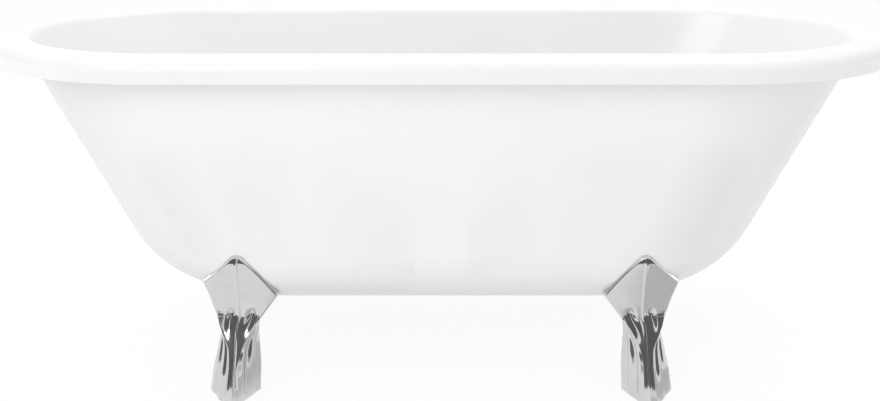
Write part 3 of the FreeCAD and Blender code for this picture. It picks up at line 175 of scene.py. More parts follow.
def soft_matte(name, tone, roughness, grain):
    """Moulded rubber or plastic: fine grain, slight blotches, dusty roughness."""
    surface = Surface(name)
    blotch = surface.noise(40.0, detail=5)
    dim = tuple(channel * 0.85 for channel in tone)
    colour = surface.ramp(blotch, "Fac", [(0.25, dim), (0.75, tone)])
    surface.join(colour, "Color", surface.shader, "Base Color")
    rough = surface.spread(blotch, "Fac", roughness * 0.85, min(roughness * 1.15, 1.0))
    surface.join(rough, "Result", surface.shader, "Roughness")
    fine = surface.bump(surface.noise(grain, detail=3), "Fac", 0.00004)
    surface.join(fine, "Normal", surface.shader, "Normal")
    return surface.material


def timber(name, light, dark, along):
    """Planed softwood: growth bands and pores along an axis, and a slightly raised grain."""
    surface = Surface(name)
    stretch = tuple(0.06 if axis == along else 1.0 for axis in range(3))
    bands = surface.noise(34.0, detail=3, roughness=0.6, stretch=stretch)
    pores = surface.noise(420.0, detail=4, roughness=0.7, stretch=stretch)
    grain = surface.ramp(bands, "Fac", [(0.30, dark), (0.46, light), (0.56, dark), (0.72, light)])
    shade = surface.make("ShaderNodeMixRGB", blend_type="MULTIPLY")
    shade.inputs["Fac"].default_value = 0.35
    surface.join(grain, "Color", shade, "Color1")
    surface.join(pores, "Fac", shade, "Color2")
    surface.join(shade, "Color", surface.shader, "Base Color")
    rough = surface.spread(pores, "Fac", 0.55, 0.80)
    surface.join(rough, "Result", surface.shader, "Roughness")
    raised = surface.bump(pores, "Fac", 0.0002, strength=0.6)
    surface.join(raised, "Normal", surface.shader, "Normal")
    return surface.material


def chip_board(name):
    """Pressed wood chips with a mottled face."""
    surface = Surface(name)
    cells = surface.make("ShaderNodeTexVoronoi")
    cells.inputs["Scale"].default_value = 260.0
    surface.join(surface.place, "Object", cells, "Vector")
    colour = surface.ramp(cells, "Distance", [(0.0, (0.34, 0.24, 0.14)),
                                              (0.5, (0.58, 0.44, 0.28)),
                                              (1.0, (0.66, 0.53, 0.36))])
    surface.join(colour, "Color", surface.shader, "Base Color")
    rough = surface.spread(surface.noise(300.0), "Fac", 0.7, 0.9)
    surface.join(rough, "Result", surface.shader, "Roughness")
    surface.join(surface.bump(cells, "Distance", 0.0002), "Normal", surface.shader, "Normal")
    return surface.material


# Finishes, by the material slots of the record.
MATERIALS = {
    "basin": gloss_white("basin_acrylic", (0.88, 0.88, 0.875), 0.20),
    "skin": gloss_white("skin_acrylic", (0.92, 0.92, 0.915), 0.23),
    "timber": timber("softwood", (0.72, 0.54, 0.34), (0.52, 0.35, 0.19), along=0),
    "board": chip_board("particle_board"),
    "foot_chrome": chrome("foot_chrome", (0.66, 0.66, 0.67), 0.085),
    "chrome_trim": chrome("trim_chrome", (0.68, 0.68, 0.69), 0.05),
    "steel": worked_metal("zinc_plate", (0.56, 0.57, 0.58), 0.32, 700.0),
    "spring": worked_metal("spring_wire", (0.58, 0.58, 0.58), 0.25, 900.0),
    "brass": worked_metal("turned_brass", (0.66, 0.47, 0.20), 0.28, 800.0),
    "seal": soft_matte("black_rubber", (0.030, 0.030, 0.031), 0.65, 900.0),
    "fibre": soft_matte("red_fibre", (0.36, 0.09, 0.06), 0.8, 600.0),
    "pad": soft_matte("pad_plastic", (0.045, 0.045, 0.047), 0.5, 800.0),
    "pipe": soft_matte("pipe_plastic", (0.80, 0.80, 0.78), 0.4, 700.0),
    "hose": soft_matte("hose_plastic", (0.70, 0.70, 0.67), 0.45, 500.0),
}


def dress_frame():
    """Gives every CAD node the finish of its slot."""
    for row in frame["record"]["subparts"]:
        data = nodes[row["node"]].data
        data.materials.clear()
        data.materials.append(MATERIALS[row["material_slot"]])


# ---------------------------------------------------------------- feet

# The feet: which way each stands along X and Y.
CORNERS = {
    "front_right": (1, -1),
    "front_left": (-1, -1),
    "back_right": (1, 1),
    "back_left": (-1, 1),
}
# Millimetres in a metre.
METRE = 1000.0

# Places on a foot are in millimetres: across along X from FOOT_ACROSS, forward along Y from
# FOOT_FORWARD, both counted away from the bath's middle, and height above the floor.
FOOT_ACROSS = 372.0
FOOT_FORWARD = 260.67
# A foot's zones from the floor up: the sole, the leg, the plate under the skin and the
# shield. PLATE_REAR is the place of the plate's rear edge.
SOLE_BOTTOM = 0.0
SOLE_TOP = 10.0
PLATE_BOTTOM = 160.0
PLATE_REAR = -121.0
PLATE_TOP = 172.4

# Meshing: step between levels; points along each part of a level; how far the front's points
# gather at its crest and edges; how close two points at one level are when they become one;
# how often a level's front is evened out; and the angle from which an edge stays sharp.
ROW_STEP = 1.6
FLANK_POINTS = 26
FACE_POINTS = 46
BACK_POINTS = 32
FACE_GATHER = 0.09
SAME_PLACE = 1.5
SOFTEN_PASSES = 2
SHARP_ANGLE = math.radians(38)

# Bevel round the shield: width and depth, and how much of the depth there is, as
# (height, share).
BEVEL = 3.2
BEVEL_DEPTH = 5.6
BEVEL_GROWTH = ((152, 0.3), (200, 1))
# Where the leg and the shield blend: (height, reach), and the levels that are averaged, as
# shares of that reach up and down.
ANKLE_BLEND = ((122, 0), (142, 12), (166, 12), (190, 0))
BLEND_SHARES = (-1, -0.5, 0, 0.5, 1)
# How far the two halves of the front bulge, most at the crest, as (height, bulge).
BULGE = ((0, 1.2), (90, 1.1), (125, 0.8), (150, 0.4), (190, 1.2), (300, 2.0))
# Narrow ridge on the crest, as (height, rise), and its half width.
CREST_RISE = ((0, 0.6), (60, 0.6), (100, 0.9), (150, 1.3), (200, 1.2), (290, 0.8))
CREST_HALF = 4.5
# The apex leans back from this height up: depth at the top and half width.
APEX_ROLL_FROM = 272.0
APEX_ROLL = 6.0
APEX_ROLL_HALF = 34.0
# The topmost band of the shield and its levels, as shares of the band.
APEX_BAND = 8.0
APEX_LEVELS = (0.2, 0.4, 0.58, 0.74, 0.87, 0.95, 0.985, 0.998)
# Waves across a flank: place, half width and depth, as shares of the flank, and how much of
# the depth there is, as (height, share).
WAVES = ((0.62, 0.16, 0.055), (0.40, 0.14, -0.030), (0.20, 0.16, 0.045), (0.84, 0.12, -0.020))
WAVE_FADE = ((0, 0.25), (14, 1), (110, 1), (150, 0))

# Back of the shield: gap to the skin, least thickness, and thickness where no skin is behind.
SKIN_CLEAR = 0.3
SHIELD_LEAST = 1.5
SHIELD_THICK = 8.0
# Hollow behind the leg: walls beside it, depth behind the band's edges, its inset from them,
# and its least depth from the rear.
WALL = 6.0
HOLLOW_BEHIND = 17.5
HOLLOW_INSET = 3.0
HOLLOW_LEAST = 2.0

# Boss round the levelling screw, sunk a little into the sole, with its bore and the recess
# for the pad.
BOSS_PLACE = (17.0, 11.3)
BOSS_RADIUS = 11.0
BOSS_BORE = 5.2
BOSS_TOP = 34.0
BOSS_SUNK = 1.0
RECESS_RADIUS = 14.5
RECESS_TOP = 5.5
RING_STEPS = 32

# Leg, level by level: height; inner rear corner; front band's two edges; outer rear corner;
# how far the band's inner edge, crest and outer edge and the rear corners stand forward.
LEG = (
    (0.0, -30.0, 1.0, 27.0, 65.0, 52.2, 53.7, 52.2, -13.3),
    (19.8, -31.0, 0.6, 23.5, 61.2, 48.0, 49.3, 48.0, -13.3),
    (45.6, -33.0, 0.2, 20.0, 56.5, 41.4, 42.6, 41.2, -13.3),
    (74.5, -33.5, -0.7, 18.0, 49.0, 31.2, 31.7, 30.0, -14.3),
    (100.3, -33.0, -6.5, 20.5, 42.5, 19.7, 18.9, 16.6, -15.3),
    (120.1, -32.5, -16.5, 30.5, 37.8, 11.7, 8.8, 5.6, -17.3),
    (135.3, -34.0, -26.0, 37.0, 38.5, 6.4, 2.0, -1.6, -19.3),
    (152.0, -39.0, -39.0, 40.5, 40.5, 4.4, 0.6, -5.8, -21.3),
)
ANKLE_TOP = LEG[-1][0]
# Shield, level by level: height; crease; how far the inner edge, crease and outer edge stand
# forward, the edges taken at SHIELD_HALF from the crease.
SHIELD = (
    (170.0, -0.5, 7.5, 0.8, -11.5),
    (185.0, -1.5, 11.5, 5.2, -13.0),
    (200.0, -2.8, 17.0, 11.2, -13.0),
    (216.0, -4.0, 23.5, 18.0, -9.5),
    (252.0, -6.9, 38.4, 35.2, 4.0),
    (277.0, -8.9, 45.0, 43.8, 16.8),
    (302.0, -10.9, 48.1, 48.4, 25.1),
)
SHIELD_HALF = 80.0
# The shield's outline above the ankle, from its apex: corners as (across, height, rounding).
KITE = (
    (-11, 297, 16),
    (21.4, 264.6, 80),
    (65, 222, 7),
    (41.8, 152, 30),
    (41.0, 120, 1),
    (-33.5, 120, 1),
    (-39.0, 150, 12),
    (-77.5, 203, 7),
    (-46.2, 254.9, 60),
)
# Valleys beside the crest, level by level: height; then for the inner and the outer valley
# its distance from the crest, its half width and its depth.
VALLEYS = (
    (84.0, -8.0, 8.0, 0.0, 7.0, 7.0, 0.0),
    (104.0, -11.0, 10.0, 0.4, 9.0, 8.0, 0.2),
    (122.0, -15.5, 12.0, 1.0, 12.0, 10.0, 0.6),
    (138.0, -20.0, 13.0, 2.4, 14.0, 10.5, 1.8),
    (150.0, -22.5, 13.0, 4.6, 15.0, 10.5, 3.4),
    (162.0, -23.5, 12.0, 7.0, 15.0, 10.0, 5.2),
    (167.0, -24.0, 11.0, 5.4, 15.0, 9.0, 3.8),
    (173.0, -24.0, 10.0, 1.0, 15.0, 7.5, 0.7),
    (180.0, -24.0, 9.0, 0.0, 15.0, 7.0, 0.0),
)


def smooth_table(rows, height):
    """All columns of a table of rows at a height, on one smooth curve through the rows."""
    table = np.array(rows, dtype=float)
    levels = table[:, 0]
    height = min(max(height, levels[0]), levels[-1])
    place = min(int(np.searchsorted(levels, height, side="right")) - 1, len(levels) - 2)
    slopes = np.gradient(table[:, 1:], levels, axis=0)
    step = levels[place + 1] - levels[place]
    u = (height - levels[place]) / step
    low, high = table[place, 1:], table[place + 1, 1:]
    return ((1 + 2 * u) * (1 - u) ** 2 * low + u * (1 - u) ** 2 * step * slopes[place]
            + u * u * (3 - 2 * u) * high + u * u * (u - 1) * step * slopes[place + 1])


def at_height(pairs, height):
    """Value at a height, on straight lines between (height, value) pairs."""
    return np.interp(height, *zip(*pairs))


def bell(distance, half_width):
    """Smooth hump of height 1 that ends at its half width."""
    share = np.clip(np.abs(distance) / half_width, 0, 1)
    return (1 - share ** 2) ** 2


def rounded_outline(corners, arc_points=10):
    """Closed outline through corners of (across, height, rounding)."""
    places = [np.array(corner[:2], dtype=float) for corner in corners]
    line = []
    for index, (place, corner) in enumerate(zip(places, corners)):
        before = places[index - 1] - place
        after = places[(index + 1) % len(places)] - place
        before /= np.linalg.norm(before)
        after /= np.linalg.norm(after)
        half = math.acos(float(np.clip(before @ after, -1, 1))) / 2
        inward = (before + after) / np.linalg.norm(before + after)
        centre = place + inward * corner[2] / math.sin(half)
        start = place + before * corner[2] / math.tan(half) - centre
        end = place + after * corner[2] / math.tan(half) - centre
        for step in range(arc_points + 1):
            spot = start + (end - start) * step / arc_points
            line.append(centre + spot / np.linalg.norm(spot) * corner[2])
    return np.array(line)


def outline_reach(outline, height):
    """Leftmost and rightmost places of an outline at a height."""
    ahead = np.roll(outline, -1, axis=0)
    low = np.minimum(outline[:, 1], ahead[:, 1])
    high = np.maximum(outline[:, 1], ahead[:, 1])
    crossing = (low <= height) & (high > height)
    start, end = outline[crossing], ahead[crossing]
    run = end - start
    across = start[:, 0] + run[:, 0] * (height - start[:, 1]) / run[:, 1]
    return across.min(), across.max()


def edge_distance(outline, points):
    """Distance of each point from an outline."""
    ahead = np.roll(outline, -1, axis=0)
    run = ahead - outline
    offset = points[:, None, :] - outline[None, :, :]
    share = np.clip((offset * run).sum(2) / np.maximum((run * run).sum(1), 1e-9), 0, 1)
    return np.linalg.norm(offset - share[..., None] * run, axis=2).min(1)


def ankle_row():
    """The leg's top level as a row of SHIELD, its edges carried out to SHIELD_HALF."""
    height, _, left, right, _, inner, crest, outer, _ = LEG[-1]
    middle = (left + right) / 2
    reach = SHIELD_HALF / (middle - left)
    return height, middle, crest + (inner - crest) * reach, crest, crest + (outer - crest) * reach


def bare_face(outline, height):
    """The foot's plain front at a height: crest's place, then across and forward."""
    if height <= ANKLE_TOP:
        _, left, right, _, inner, crest, outer, _ = smooth_table(LEG, height)
        middle = (left + right) / 2
        inner_end, outer_end = left, right
    else:
        middle, inner, crest, outer = smooth_table((ankle_row(), *SHIELD), height)
        left, right = outline_reach(outline, height)
        inner_end, outer_end = middle - SHIELD_HALF, middle + SHIELD_HALF
    turn = np.linspace(0, 1, FACE_POINTS)
    spread = turn - np.sin(2 * math.pi * turn) * FACE_GATHER
    across = np.concatenate([left + (middle - left) * spread,
                             middle + (right - middle) * spread[1:]])
    forward = np.where(across < middle,
                       crest + (inner - crest) * (across - middle) / (inner_end - middle),
                       crest + (outer - crest) * (across - middle) / (outer_end - middle))
    share = (across - middle) / np.where(across < middle, middle - left, right - middle)
    return middle, across, forward + at_height(BULGE, height) * (1 - share ** 2)


def face_line(outline, height):
    """The foot's front at a height, from its inner to its outer edge: across and forward."""
    middle, across, _ = bare_face(outline, height)
    reach = at_height(ANKLE_BLEND, height)
    blend = [bare_face(outline, height + reach * share)[2] for share in BLEND_SHARES]
    forward = np.mean(blend, axis=0)
    valleys = smooth_table(VALLEYS, height)
    for place, half_width, depth in (valleys[:3], valleys[3:]):
        forward -= max(depth, 0) * bell(across - middle - place, half_width)
    apex, apex_height, _ = KITE[0]
    roll = max(height - APEX_ROLL_FROM, 0) / (apex_height - APEX_ROLL_FROM)
    forward -= APEX_ROLL * roll ** 2 * bell(across - apex, APEX_ROLL_HALF)
    forward += at_height(CREST_RISE, height) * bell(across - middle, CREST_HALF)
    return across, forward


def flank_line(start, end, height):
    """Fluted side of the leg between a rear corner and the front's edge, from start to end."""
    share = np.linspace(0, 1, FLANK_POINTS)
    across = start[0] + (end[0] - start[0]) * share
    forward = start[1] + (end[1] - start[1]) * share
    length = math.hypot(end[0] - start[0], end[1] - start[1])
    waves = sum(depth * bell(share - place, half_width) for place, half_width, depth in WAVES)
    deep = length * at_height(WAVE_FADE, height) * waves
    normal = np.array((start[1] - end[1], end[0] - start[0])) / length
    return across - normal[0] * deep, forward - normal[1] * deep


def straight_line(corners):
    """Points of a back, spread along straight runs between corners."""
    corners = np.array(corners, dtype=float)
    lengths = np.linalg.norm(np.diff(corners, axis=0), axis=1)
    reach = np.concatenate([[0], np.cumsum(lengths)])
    spots = np.linspace(0, reach[-1], BACK_POINTS + 2)[1:-1]
    return np.interp(spots, reach, corners[:, 0]), np.interp(spots, reach, corners[:, 1])


def solid_tree(node):
    """Search tree over a node's faces, for finding where a ray meets it."""
    data = nodes[node].data
    return BVHTree.FromPolygons([vertex.co for vertex in data.vertices],
                                [tuple(face.vertices) for face in data.polygons])


SKIN = solid_tree("outer_shell")


def shield_back(across, height, front):
    """The shield's back behind a place of its front: on the skin, or clear of it."""
    start = Vector(((FOOT_ACROSS + across) / METRE, -1.0, height / METRE))
    place, _, _, _ = SKIN.ray_cast(start, Vector((0, 1, 0)))
    if place is None:
        return front - SHIELD_THICK
    return min(-place.y * METRE - FOOT_FORWARD + SKIN_CLEAR, front - SHIELD_LEAST)


def rear_corners(zone, height, across, forward):
    """Inner and outer rear corner of a level, each as (across, forward)."""
    if zone in ("sole", "leg"):
        inner, _, _, outer, _, _, _, rear = smooth_table(LEG, height)
        return (inner, rear), (outer, rear)
    if zone == "plate":
        return (across[0], PLATE_REAR), (across[-1], PLATE_REAR)
    return [(across[end], shield_back(across[end], height, forward[end])) for end in (0, -1)]


def bevel_shield(outline, height, front_x, front_y, forward):
    """Takes back the shield's front near its outline, and its flanks with it."""
    points = np.column_stack([front_x, np.full(len(front_x), height)])
    inset = np.clip(1 - edge_distance(outline, points) / BEVEL, 0, 1)
    drop = BEVEL_DEPTH * inset * at_height(BEVEL_GROWTH, height)
    order = np.arange(len(front_x))
    on_face = (order >= FLANK_POINTS - 1) & (order <= len(front_x) - FLANK_POINTS)
    flank = np.where(order < FLANK_POINTS, forward[0], forward[-1]) - BEVEL_DEPTH
    return np.where(on_face, front_y - drop, np.minimum(front_y, flank))


def softened(line):
    """Evens out a line and keeps its two ends."""
    for _ in range(SOFTEN_PASSES):
        even = (np.roll(line, 1) + 2 * line + np.roll(line, -1)) / 4
        line[1:-1] = even[1:-1]
    return line


def back_points(zone, height, across, forward, inner, outer):
    """A level's back, from its outer to its inner rear corner: across and forward."""
    if zone == "leg":
        deep = max(min(forward[0], forward[-1]) - HOLLOW_BEHIND, inner[1] + HOLLOW_LEAST)
        return straight_line([outer, (outer[0] - WALL, outer[1]),
                              (across[-1] - HOLLOW_INSET, deep),
                              (across[0] + HOLLOW_INSET, deep),
                              (inner[0] + WALL, inner[1]), inner])
    if zone == "shield":
        share = np.linspace(0, 1, BACK_POINTS + 2)[1:-1]
        spots = outer[0] + (inner[0] - outer[0]) * share
        fronts = np.interp(spots, across, forward)
        return spots, [shield_back(spot, height, front) for spot, front in zip(spots, fronts)]
    return straight_line([outer, inner])


def foot_row(outline, height, zone):
    """One closed loop of the foot: inner flank, front and outer flank, then its back."""
    across, forward = face_line(outline, height)
    inner, outer = rear_corners(zone, height, across, forward)
    inner_x, inner_y = flank_line(inner, (across[0], forward[0]), height)
    outer_x, outer_y = flank_line((across[-1], forward[-1]), outer, height)
    front_x = np.concatenate([inner_x[:-1], across, outer_x[1:]])
    front_y = np.concatenate([inner_y[:-1], forward, outer_y[1:]])
    if height > ANKLE_TOP:
        front_y = bevel_shield(outline, height, front_x, front_y, forward)
    back_x, back_y = back_points(zone, height, across, forward, inner, outer)
    loop_x = np.concatenate([softened(front_x), back_x])
    loop_y = np.concatenate([softened(front_y), back_y])
    return [(x, y, height) for x, y in zip(loop_x, loop_y)]


def foot_loops():
    """Every level of a foot, from its sole to the shield's top."""
    outline = rounded_outline(KITE)
    band = outline[:, 1].max() - APEX_BAND
    zones = (("sole", SOLE_BOTTOM, SOLE_TOP), ("leg", SOLE_TOP, PLATE_BOTTOM),
             ("plate", PLATE_BOTTOM, PLATE_TOP), ("shield", PLATE_TOP, band))
    loops = []
    for zone, low, high in zones:
        count = max(int((high - low) / ROW_STEP), 2)
        for step in range(count + 1):
            loops.append(foot_row(outline, low + (high - low) * step / count, zone))
    for share in APEX_LEVELS:
        loops.append(foot_row(outline, band + APEX_BAND * share, "shield"))
    return loops


def ring_points(radius, height):
    """Circle about the levelling screw."""
    turns = [2 * math.pi * step / RING_STEPS for step in range(RING_STEPS)]
    across, forward = BOSS_PLACE
    return [(across + radius * math.cos(turn), forward + radius * math.sin(turn), height)
            for turn in turns]


def boss_loops():
    """Recess, bore and boss, from the recess's mouth up the inside and down the outside."""
    return [ring_points(RECESS_RADIUS, SOLE_BOTTOM), ring_points(RECESS_RADIUS, RECESS_TOP),
            ring_points(BOSS_BORE, RECESS_TOP), ring_points(BOSS_BORE, BOSS_TOP),
            ring_points(BOSS_RADIUS, BOSS_TOP), ring_points(BOSS_RADIUS, SOLE_TOP - BOSS_SUNK)]


def add_loops(mesh, loops, top_cap):
    """Joins level loops with quads and gives them back; a cap closes the last one if asked.

    Where two loops share a level, their points that nearly meet are one."""
    rings = []
    for loop in loops:
        ring = []
        for step, point in enumerate(loop):
            below = rings[-1][step] if rings else None
            meets = below is not None and below.co.z == Vector(point).z
            if meets and (below.co - Vector(point)).length < SAME_PLACE:
                ring.append(below)
            else:
                ring.append(mesh.verts.new(point))
        rings.append(ring)
    for low, high in zip(rings, rings[1:]):
        for step in range(len(low)):
            ahead = (step + 1) % len(low)
            corners = list(dict.fromkeys((low[step], low[ahead], high[ahead], high[step])))
            if len(corners) > 2:
                mesh.faces.new(corners)
    if top_cap:
        mesh.faces.new(rings[-1])
    return rings


def close_sole(mesh, outer, inner):
    """Fills the sole's underside between its outline and the recess for the pad."""
    edges = []
    for ring in (outer, inner):
        for start, end in zip(ring, ring[1:] + ring[:1]):
            edges.append(mesh.edges.get((start, end)) or mesh.edges.new((start, end)))
    bmesh.ops.triangle_fill(mesh, edges=edges, use_beauty=True, use_dissolve=False)


def make_feet():
    """The four cast feet, each built level by level and mirrored into its corner."""
    casting_loops = foot_loops()
    sleeve_loops = boss_loops()
    for corner, (way, side) in CORNERS.items():
        mesh = bmesh.new()
        casting = add_loops(mesh, casting_loops, True)
        sleeve = add_loops(mesh, sleeve_loops, False)
        close_sole(mesh, casting[0], sleeve[0])
        for vertex in mesh.verts:
            across, forward, height = vertex.co
            vertex.co = (way * (FOOT_ACROSS + across) / METRE,
                         side * (FOOT_FORWARD + forward) / METRE, height / METRE)
        bmesh.ops.recalc_face_normals(mesh, faces=mesh.faces)
        for face in mesh.faces:
            face.smooth = True
        for edge in mesh.edges:
            edge.smooth = edge.calc_face_angle(0) < SHARP_ANGLE
        data = bpy.data.meshes.new(f"foot_casting_{corner}")
        mesh.to_mesh(data)
        mesh.free()
        piece = bpy.data.objects.new(f"foot_casting_{corner}", data)
        bpy.context.scene.collection.objects.link(piece)
        data.materials.append(MATERIALS["foot_chrome"])
        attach(piece, "bath")
        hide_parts(f"foot_{corner}")


# ---------------------------------------------------------------- stage

# Places and sizes of the stage are in metres. The camera is the photograph's: its tilt is in
# degrees, its lens and sensor in millimetres.
CAMERA_PLACE = (-0.002, -2.0233, 0.9335)
CAMERA_TILT = 72.53
CAMERA_LENS = 42.55
CAMERA_SENSOR = 36.0
CAMERA_REACH = 50

# Floor: half its width, how far it lies below the soles, its tone under the lamps, and the
# tone and glow that camera and mirrors see.
FLOOR_HALF = 7.0
FLOOR_DROP = 0.0002
FLOOR_TONE = 0.80
FLOOR_SEEN_TONE = 0.13
FLOOR_SEEN_GLOW = 0.89
# World: its light on the bath. Camera and mirrors see plain white.
WORLD_LIGHT = 0.74

# Dark flags round each foot, which only mirrors see: distance, height, tone, and their ends
# in degrees, counted to the right of straight out as seen from in front of the foot.
FLAG_AWAY = 0.33
FLAG_BOTTOM = 0.028
FLAG_TOP = 0.34
FLAG_TONE = 0.14
FLAGS = ((-84, -34), (-25, 13), (23, 84))
FLAG_STEP = 6
# Painted shadow for mirrors only: a grey card on the floor to the right of each foot. It stands
# in for the bath's shade on the floor, so that the feet's right faces mirror darker. It starts as
# white and darkens to the tone below from the fade distance on.
PAINTED_SHADOW_WIDE = 0.30
PAINTED_SHADOW_FRONT = 0.75
PAINTED_SHADOW_BACK = 0.10
PAINTED_SHADOW_HEIGHT = 0.0002
PAINTED_SHADOW_FADE = 0.10
PAINTED_SHADOW_TONE = 0.66
# Bright panels left and right of the bath, for mirrors only.
PANEL_AWAY = 2.6
PANEL_HALF = 1.4
PANEL_TOP = 0.8
PANEL_GLOW = 1.55

# Lamps: name, place, aim, size and power in watts.
LAMPS = (
    ("key", (-1.6, -2.8, 2.4), (0, 0, 0.4), (2.0, 2.0), 30),
    ("top", (0.3, 0.6, 3.2), (0, 0, 0.3), (3.0, 1.6), 28),
    ("fill", (0.2, -2.8, 0.5), (0, 0, 0.38), (2.2, 0.8), 5.0),
)


def stage_piece(name, points, faces):
    """Mesh that belongs to the stage and not to the bath."""
    data = bpy.data.meshes.new(name)
    data.from_pydata(points, [], faces)
    piece = bpy.data.objects.new(name, data)
    bpy.context.scene.collection.objects.link(piece)
    return piece


def empty_tree(owner):
    """Clears the nodes of a material or world and gives back its tree."""
    owner.use_nodes = True
    owner.node_tree.nodes.clear()
    return owner.node_tree


def tone_node(tree, kind, level, strength=None):
    """Diffuse, emission or background node of a grey level."""
    node = tree.nodes.new(kind)
    node.inputs["Color"].default_value = (*grey(level), 1)
    if strength is not None:
        node.inputs["Strength"].default_value = strength
    return node


def seen_or_mirrored(tree):
    """Fac that is 1 for camera, glossy and transmission rays and 0 for the rest."""
    path = tree.nodes.new("ShaderNodeLightPath")
    total = path.outputs["Is Camera Ray"]
    for ray in ("Is Glossy Ray", "Is Transmission Ray"):
        either = tree.nodes.new("ShaderNodeMath")
        either.operation = "MAXIMUM"
        tree.links.new(total, either.inputs[0])
        tree.links.new(path.outputs[ray], either.inputs[1])
        total = either.outputs[0]
    return total


def split_rays(tree, kind, lit, seen):
    """Gives camera and mirror rays one shader and all others another."""
    choose = tree.nodes.new("ShaderNodeMixShader")
    tree.links.new(seen_or_mirrored(tree), choose.inputs["Fac"])
    tree.links.new(lit.outputs[0], choose.inputs[1])
    tree.links.new(seen.outputs[0], choose.inputs[2])
    tree.links.new(choose.outputs[0], tree.nodes.new(kind).inputs["Surface"])


def make_floor():
    """Pale floor that reads as white and keeps a light shadow."""
    corners = [(x * FLOOR_HALF, y * FLOOR_HALF, -FLOOR_DROP)
               for x, y in ((-1, -1), (1, -1), (1, 1), (-1, 1))]
    floor = stage_piece("floor", corners, [(0, 1, 2, 3)])
    material = bpy.data.materials.new("pale_floor")
    tree = empty_tree(material)
    matte = tone_node(tree, "ShaderNodeBsdfDiffuse", FLOOR_TONE)
    thin = tone_node(tree, "ShaderNodeBsdfDiffuse", FLOOR_SEEN_TONE)
    glow = tone_node(tree, "ShaderNodeEmission", 1.0, FLOOR_SEEN_GLOW)
    both = tree.nodes.new("ShaderNodeAddShader")
    tree.links.new(thin.outputs[0], both.inputs[0])
    tree.links.new(glow.outputs[0], both.inputs[1])
    split_rays(tree, "ShaderNodeOutputMaterial", matte, both)
    floor.data.materials.append(material)


def mirror_only(name, points, faces):
    """Glowing stage piece that casts no shadow and shows in mirrors alone."""
    piece = stage_piece(name, points, faces)
    piece.visible_camera = False
    piece.visible_diffuse = False
    piece.visible_shadow = False
    material = bpy.data.materials.new(name)
    tree = empty_tree(material)
    output = tree.nodes.new("ShaderNodeOutputMaterial")
    glow = tree.nodes.new("ShaderNodeEmission")
    tree.links.new(glow.outputs[0], output.inputs["Surface"])
    piece.data.materials.append(material)
    return piece, tree, glow


def make_flags():
    """Dark flags round each foot, with gaps between them that mirror as bright lines."""
    points = []
    faces = []
    for way, side in CORNERS.values():
        foot_x = way * FOOT_ACROSS / METRE
        foot_y = side * FOOT_FORWARD / METRE
        for first, last in FLAGS:
            count = max(round((last - first) / FLAG_STEP), 1)
            start = len(points)
            for step in range(count + 1):
                turn = math.radians(first + (last - first) * step / count)
                x = foot_x - side * FLAG_AWAY * math.sin(turn)
                y = foot_y + side * FLAG_AWAY * math.cos(turn)
                points += [(x, y, FLAG_BOTTOM), (x, y, FLAG_TOP)]
            for low in range(start, start + 2 * count, 2):
                faces.append((low, low + 2, low + 3, low + 1))
    _, _, glow = mirror_only("dark_flags", points, faces)
    glow.inputs["Color"].default_value = (*grey(FLAG_TONE), 1)


def make_panels():
    """Bright panels left and right, which whiten the shields' bevels."""
    points = [(way * PANEL_AWAY, y * PANEL_HALF, z * PANEL_TOP) for way in (-1, 1)
              for y, z in ((-1, 0), (1, 0), (1, 1), (-1, 1))]
    _, _, glow = mirror_only("bright_panels", points, [(0, 1, 2, 3), (4, 5, 6, 7)])
    glow.inputs["Strength"].default_value = PANEL_GLOW


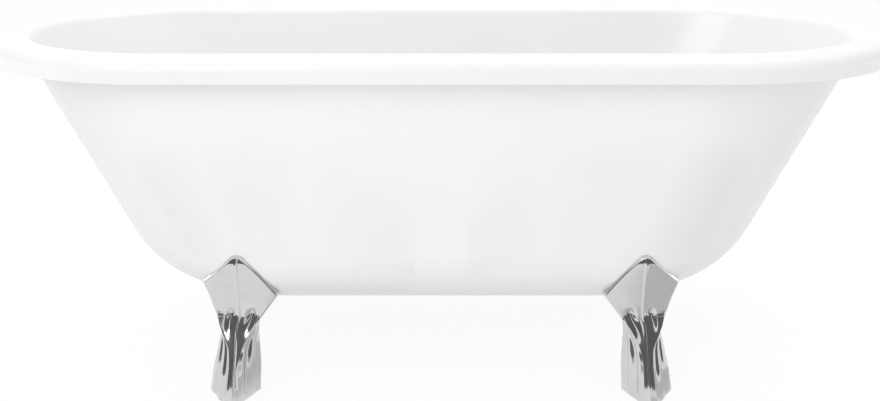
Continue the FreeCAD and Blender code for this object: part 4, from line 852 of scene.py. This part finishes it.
def make_painted_shadow_cards():
    """Painted shadow beside each foot, seen only by mirrors: a grey card on the floor that stands
    in for the bath's shade, fading in from the foot's middle.
    """
    outline = ((0, -PAINTED_SHADOW_BACK), (PAINTED_SHADOW_WIDE, -PAINTED_SHADOW_BACK), (PAINTED_SHADOW_WIDE, PAINTED_SHADOW_FRONT), (0, PAINTED_SHADOW_FRONT))
    for corner, (way, side) in CORNERS.items():
        points = [(-side * x, side * y, PAINTED_SHADOW_HEIGHT) for x, y in outline]
        painted_shadow_card, tree, glow = mirror_only(f"card_{corner}", points, [(0, 1, 2, 3)])
        painted_shadow_card.location = (way * FOOT_ACROSS / METRE, side * FOOT_FORWARD / METRE, 0)
        place = tree.nodes.new("ShaderNodeTexCoord")
        parts = tree.nodes.new("ShaderNodeSeparateXYZ")
        # The painted shadow: white at the foot's middle, darkening outward to the card's grey
        # tone.
        fade = tree.nodes.new("ShaderNodeMapRange")
        fade.inputs["From Max"].default_value = -side * PAINTED_SHADOW_FADE
        fade.inputs["To Min"].default_value = 1.0
        fade.inputs["To Max"].default_value = PAINTED_SHADOW_TONE
        tree.links.new(place.outputs["Object"], parts.inputs[0])
        tree.links.new(parts.outputs["X"], fade.inputs["Value"])
        tree.links.new(fade.outputs[0], glow.inputs["Strength"])


def make_world():
    """Even light on the bath, and plain white for the camera and for mirrors."""
    world = bpy.data.worlds.new("studio")
    bpy.context.scene.world = world
    tree = empty_tree(world)
    lit = tone_node(tree, "ShaderNodeBackground", 1.0, WORLD_LIGHT)
    white = tone_node(tree, "ShaderNodeBackground", 1.0, 1.0)
    split_rays(tree, "ShaderNodeOutputWorld", lit, white)


def make_lamps():
    """Area lamps. The fill lamp lights the front and shows in no mirror."""
    for name, place, aim, size, power in LAMPS:
        light = bpy.data.lights.new(name, "AREA")
        light.shape = "RECTANGLE"
        light.size, light.size_y = size
        light.energy = power
        lamp = bpy.data.objects.new(name, light)
        bpy.context.scene.collection.objects.link(lamp)
        lamp.location = place
        lamp.rotation_euler = (Vector(aim) - Vector(place)).to_track_quat("-Z", "Y").to_euler()
        if name == "fill":
            lamp.visible_camera = False
            lamp.visible_glossy = False


def make_camera():
    """Camera that sees the bath as the photograph does."""
    data = bpy.data.cameras.new("photo_camera")
    data.lens = CAMERA_LENS
    data.sensor_width = CAMERA_SENSOR
    data.clip_end = CAMERA_REACH
    camera = bpy.data.objects.new("photo_camera", data)
    bpy.context.scene.collection.objects.link(camera)
    camera.location = CAMERA_PLACE
    camera.rotation_euler = (math.radians(CAMERA_TILT), 0, 0)
    bpy.context.scene.camera = camera


make_camera()
make_world()
make_floor()
make_flags()
make_panels()
make_painted_shadow_cards()
make_lamps()
dress_frame()
make_feet()

bpy.context.scene.view_settings.view_transform = "Standard"
